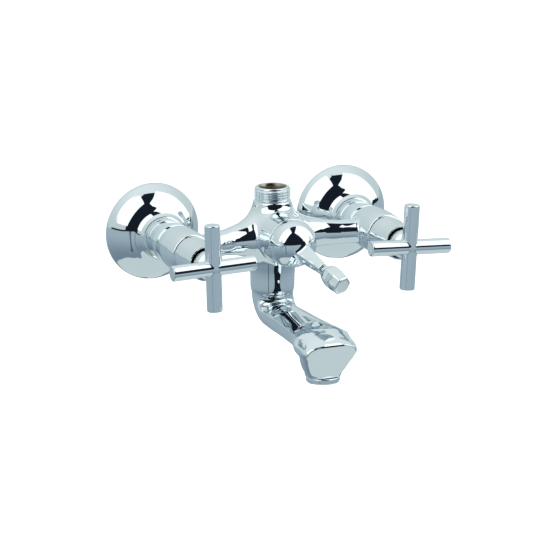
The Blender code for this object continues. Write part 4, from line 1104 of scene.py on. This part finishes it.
# --- Pieces that stay as the CAD made them -------------------------------------------------------
@dataclass
class Innards:
    """The nodes that keep their CAD shape and take a better finish."""

    nodes: dict[str, bpy.types.Object]

    FINISHES: ClassVar[dict[Finish, tuple[str, ...]]] = {
        RUBBER: ("union_washer", "seat_seal", "spindle_oring", "diverter_oring", "diverter_floor_seal",
                 "aerator_gasket"),
        BRASS: ("inlet_nipple", "headwork_gland", "spindle_left", "spindle_right", "diverter_cartridge",
                "diverter_plug"),
        CERAMIC: ("fixed_disc", "moving_disc"),
        PLASTIC: ("spline_bush", "aerator_insert"),
        STEEL: ("handle_grub_screw", "diverter_grub_screw"),
    }

    def build(self) -> None:
        """Dresses every node that is still shown."""
        for name, obj in self.nodes.items():
            if obj.hide_render:
                continue
            finish = next(f for f, starts in self.FINISHES.items() if name.startswith(starts))
            finish.dress(obj)
            LOG.info("%s: %s", name, finish.name)


# --- Studio --------------------------------------------------------------------------------------
@dataclass
class Studio:
    """A pale floor, a plain soft studio and the camera."""

    camera_place: tuple[float, float, float] = (-0.8045, -1.9145, 0.5058)
    camera_target: tuple[float, float, float] = (-0.00167, -0.060, -0.02841)
    lens: float = 188.7
    floor_drop: float = 0.09
    pale: Colour = (1.0, 1.0, 1.0)
    dark: Colour = (0.010, 0.014, 0.022)
    wall: Colour = (0.62, 0.71, 0.72)
    ceiling: Colour = (0.86, 0.93, 0.93)
    table: Colour = (0.40, 0.50, 0.56)
    near_table: Colour = (0.20, 0.27, 0.33)
    window: Colour = (1.35, 1.42, 1.42)
    left_window: Sequence[tuple[float, float]] = ((-64.0, 13.0), (-28.0, 10.0), (7.0, 57.0), (-66.0, 80.0))
    right_window: Sequence[tuple[float, float]] = ((62.0, 5.0), (27.0, 52.0), (126.0, 70.0), (117.0, 4.0))
    front: Sequence[tuple[float, float]] = (
        (-69.0, -1.0), (-69.0, 88.0), (150.0, 72.0), (123.0, -1.0), (28.0, -1.0)
    )
    lamp_place: tuple[float, float, float] = (0.0, -0.2, 2.4)
    lamp_size: float = 3.0
    lamp_power: float = 60.0

    def camera(self) -> None:
        """The camera, at the same angle as the view that the faucet is known from."""
        data = bpy.data.cameras.new("camera")
        data.lens = self.lens
        data.sensor_width = 36.0
        data.clip_end = 50.0
        obj = bpy.data.objects.new("camera", data)
        obj.location = self.camera_place
        aim = Vector(self.camera_target) - Vector(self.camera_place)
        obj.rotation_euler = aim.to_track_quat("-Z", "Y").to_euler()
        bpy.context.scene.collection.objects.link(obj)
        bpy.context.scene.camera = obj

    def floor(self) -> None:
        """A plain round floor under the faucet."""
        low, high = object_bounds()
        bm = bmesh.new()
        bmesh.ops.create_circle(bm, cap_ends=True, radius=6.0, segments=96)
        mesh = bpy.data.meshes.new("floor")
        bm.to_mesh(mesh)
        bm.free()
        obj = bpy.data.objects.new("floor", mesh)
        obj.location = (0.0, 0.0, low[2] - self.floor_drop)
        obj.visible_glossy = False
        bpy.context.scene.collection.objects.link(obj)
        made = bpy.data.materials.new("pale_floor")
        made.use_nodes = True
        graph = Graph(made.node_tree)
        place = graph.node("ShaderNodeTexCoord", output="Object")
        colour = graph.mix(graph.noise(place, 3.0), (0.97, 0.97, 0.97), (0.95, 0.955, 0.96))
        shader = graph.node("ShaderNodeBsdfPrincipled", None, {
            "Base Color": colour, "Roughness": 0.9, "Specular IOR Level": 0.1,
        })
        graph.node("ShaderNodeOutputMaterial", None, {"Surface": shader})
        mesh.materials.append(made)
        obj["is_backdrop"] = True

    def world(self) -> None:
        """A light tent with two tall soft windows in a dark front wall, over a grey-blue table."""
        scene = bpy.context.scene
        scene.world = bpy.data.worlds.new("studio")
        scene.world.use_nodes = True
        graph = Graph(scene.world.node_tree)
        way = graph.node("ShaderNodeTexCoord", output="Generated")
        split = graph.node("ShaderNodeSeparateXYZ", None, {"Vector": way})
        parts = [Signal(graph, split.socket.node.outputs[i]) for i in range(3)]
        aim = Vector(self.camera_place) - Vector(self.camera_target)
        aim.z = 0.0
        aim.normalize()
        right = Vector((-aim.y, aim.x))
        ahead = parts[0] * aim.x + parts[1] * aim.y
        aside = parts[0] * right.x + parts[1] * right.y
        turn = aside.math("ARCTAN2", ahead) * (180 / math.pi)
        rise = parts[2].math("ARCSINE") * (180 / math.pi)
        colour = self.tent(graph, parts, turn, rise)
        seen = graph.node("ShaderNodeLightPath", output="Is Camera Ray")
        shown = graph.mix(seen, colour, self.pale)
        shader = graph.node("ShaderNodeBackground", None, {"Color": shown, "Strength": 1.0})
        graph.node("ShaderNodeOutputWorld", None, {"Surface": shader})

    def tent(self, graph: Graph, way: list[Signal], turn: Signal, rise: Signal) -> Signal:
        """The colours of the studio by direction.

        Args:
            graph: the world's graph.
            way: the three parts of the direction.
            turn: degrees round from the camera's side, to the right.
            rise: degrees over the horizon.

        Returns:
            The colour.
        """
        wall = graph.mix(rise.ramp(0.0, 80.0), self.wall, self.ceiling)
        front = self.pane(graph, way, self.front)
        back = graph.mix(front, wall, self.dark)
        panes = self.pane(graph, way, self.left_window) + self.pane(graph, way, self.right_window)
        lit = graph.mix(panes.math("MINIMUM", 1.0), back, self.window)
        table = graph.mix(rise.ramp(-50.0, -4.0), self.near_table, self.table)
        stripe = turn.between(-22.0, -18.5, 1.2) * rise.between(-40.0, 0.0, 2.0)
        table = graph.mix(stripe * 0.75, table, self.dark)
        edge = rise - turn.ramp(15.0, 50.0) * 12
        table = graph.mix(edge.ramp(-55.0, -53.0), self.wall, table)
        below = graph.mix(rise.ramp(-0.6, 0.6), table, lit)
        line = rise.between(-0.5, 2.6, 0.5) * turn.between(-70.0, 123.0, 2.0)
        return graph.mix(line, below, self.dark)

    def direction(self, turn: float, rise: float) -> Vector:
        """The way that a turn from the camera's side and a rise over the horizon point to."""
        aim = Vector(self.camera_place) - Vector(self.camera_target)
        start = math.atan2(aim.y, aim.x) + math.radians(turn)
        flat = math.cos(math.radians(rise))
        return Vector((flat * math.cos(start), flat * math.sin(start), math.sin(math.radians(rise))))

    def pane(self, graph: Graph, way: list[Signal], corners: Sequence[tuple[float, float]]) -> Signal:
        """1 in a flat pane seen from the faucet.

        Args:
            graph: the world's graph.
            way: the three parts of the direction.
            corners: (turn, rise) of the pane's corners, in order round it.

        Returns:
            The pane's mask.
        """
        spots = [self.direction(*corner) for corner in corners]
        centre = sum(spots, Vector())
        mask = None
        for near, far in zip(spots, spots[1:] + spots[:1]):
            side = near.cross(far).normalized()
            side = side if side.dot(centre) > 0 else -side
            inside = (way[0] * side.x + way[1] * side.y + way[2] * side.z).ramp(-0.012, 0.012)
            mask = inside if mask is None else mask * inside
        return mask

    def lamps(self) -> None:
        """One broad lamp overhead keeps the floor pale."""
        data = bpy.data.lights.new("overhead", "AREA")
        data.shape = "DISK"
        data.size = self.lamp_size
        data.energy = self.lamp_power
        obj = bpy.data.objects.new("overhead", data)
        obj.location = self.lamp_place
        obj.visible_glossy = False
        bpy.context.scene.collection.objects.link(obj)

    def build(self) -> None:
        """Sets up the studio."""
        self.camera()
        self.floor()
        self.world()
        self.lamps()
        bpy.context.scene.view_settings.view_transform = "Standard"


def corners() -> list[list[float]]:
    """The whole model's box as plain lists."""
    return [list(map(float, corner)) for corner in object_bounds()]


def main() -> None:
    """Builds the pieces round the frame, dresses them and sets up the studio."""
    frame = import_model()
    valve_axis = middle_of("handle_sleeve_right").x
    plug_middle = middle_of("diverter_plug")
    outlet_axis = middle_of("aerator_housing").y
    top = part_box("body")[1].z / MM
    Body(valve_axis, HUB_STATION, plug_middle.z, outlet_axis).build()
    Outlet(HUB_STATION, top).build()
    for side, tilt in HANDLE_TILTS.items():
        Valve(side, side.value * valve_axis, math.radians(tilt)).build()
    Diverter(plug_middle.z).build()
    Aerator(outlet_axis).build()
    Innards(frame["nodes"]).build()
    Studio().build()


if __name__ == "__main__":
    logging.basicConfig(level=logging.INFO, format="%(name)s: %(message)s")
    main()
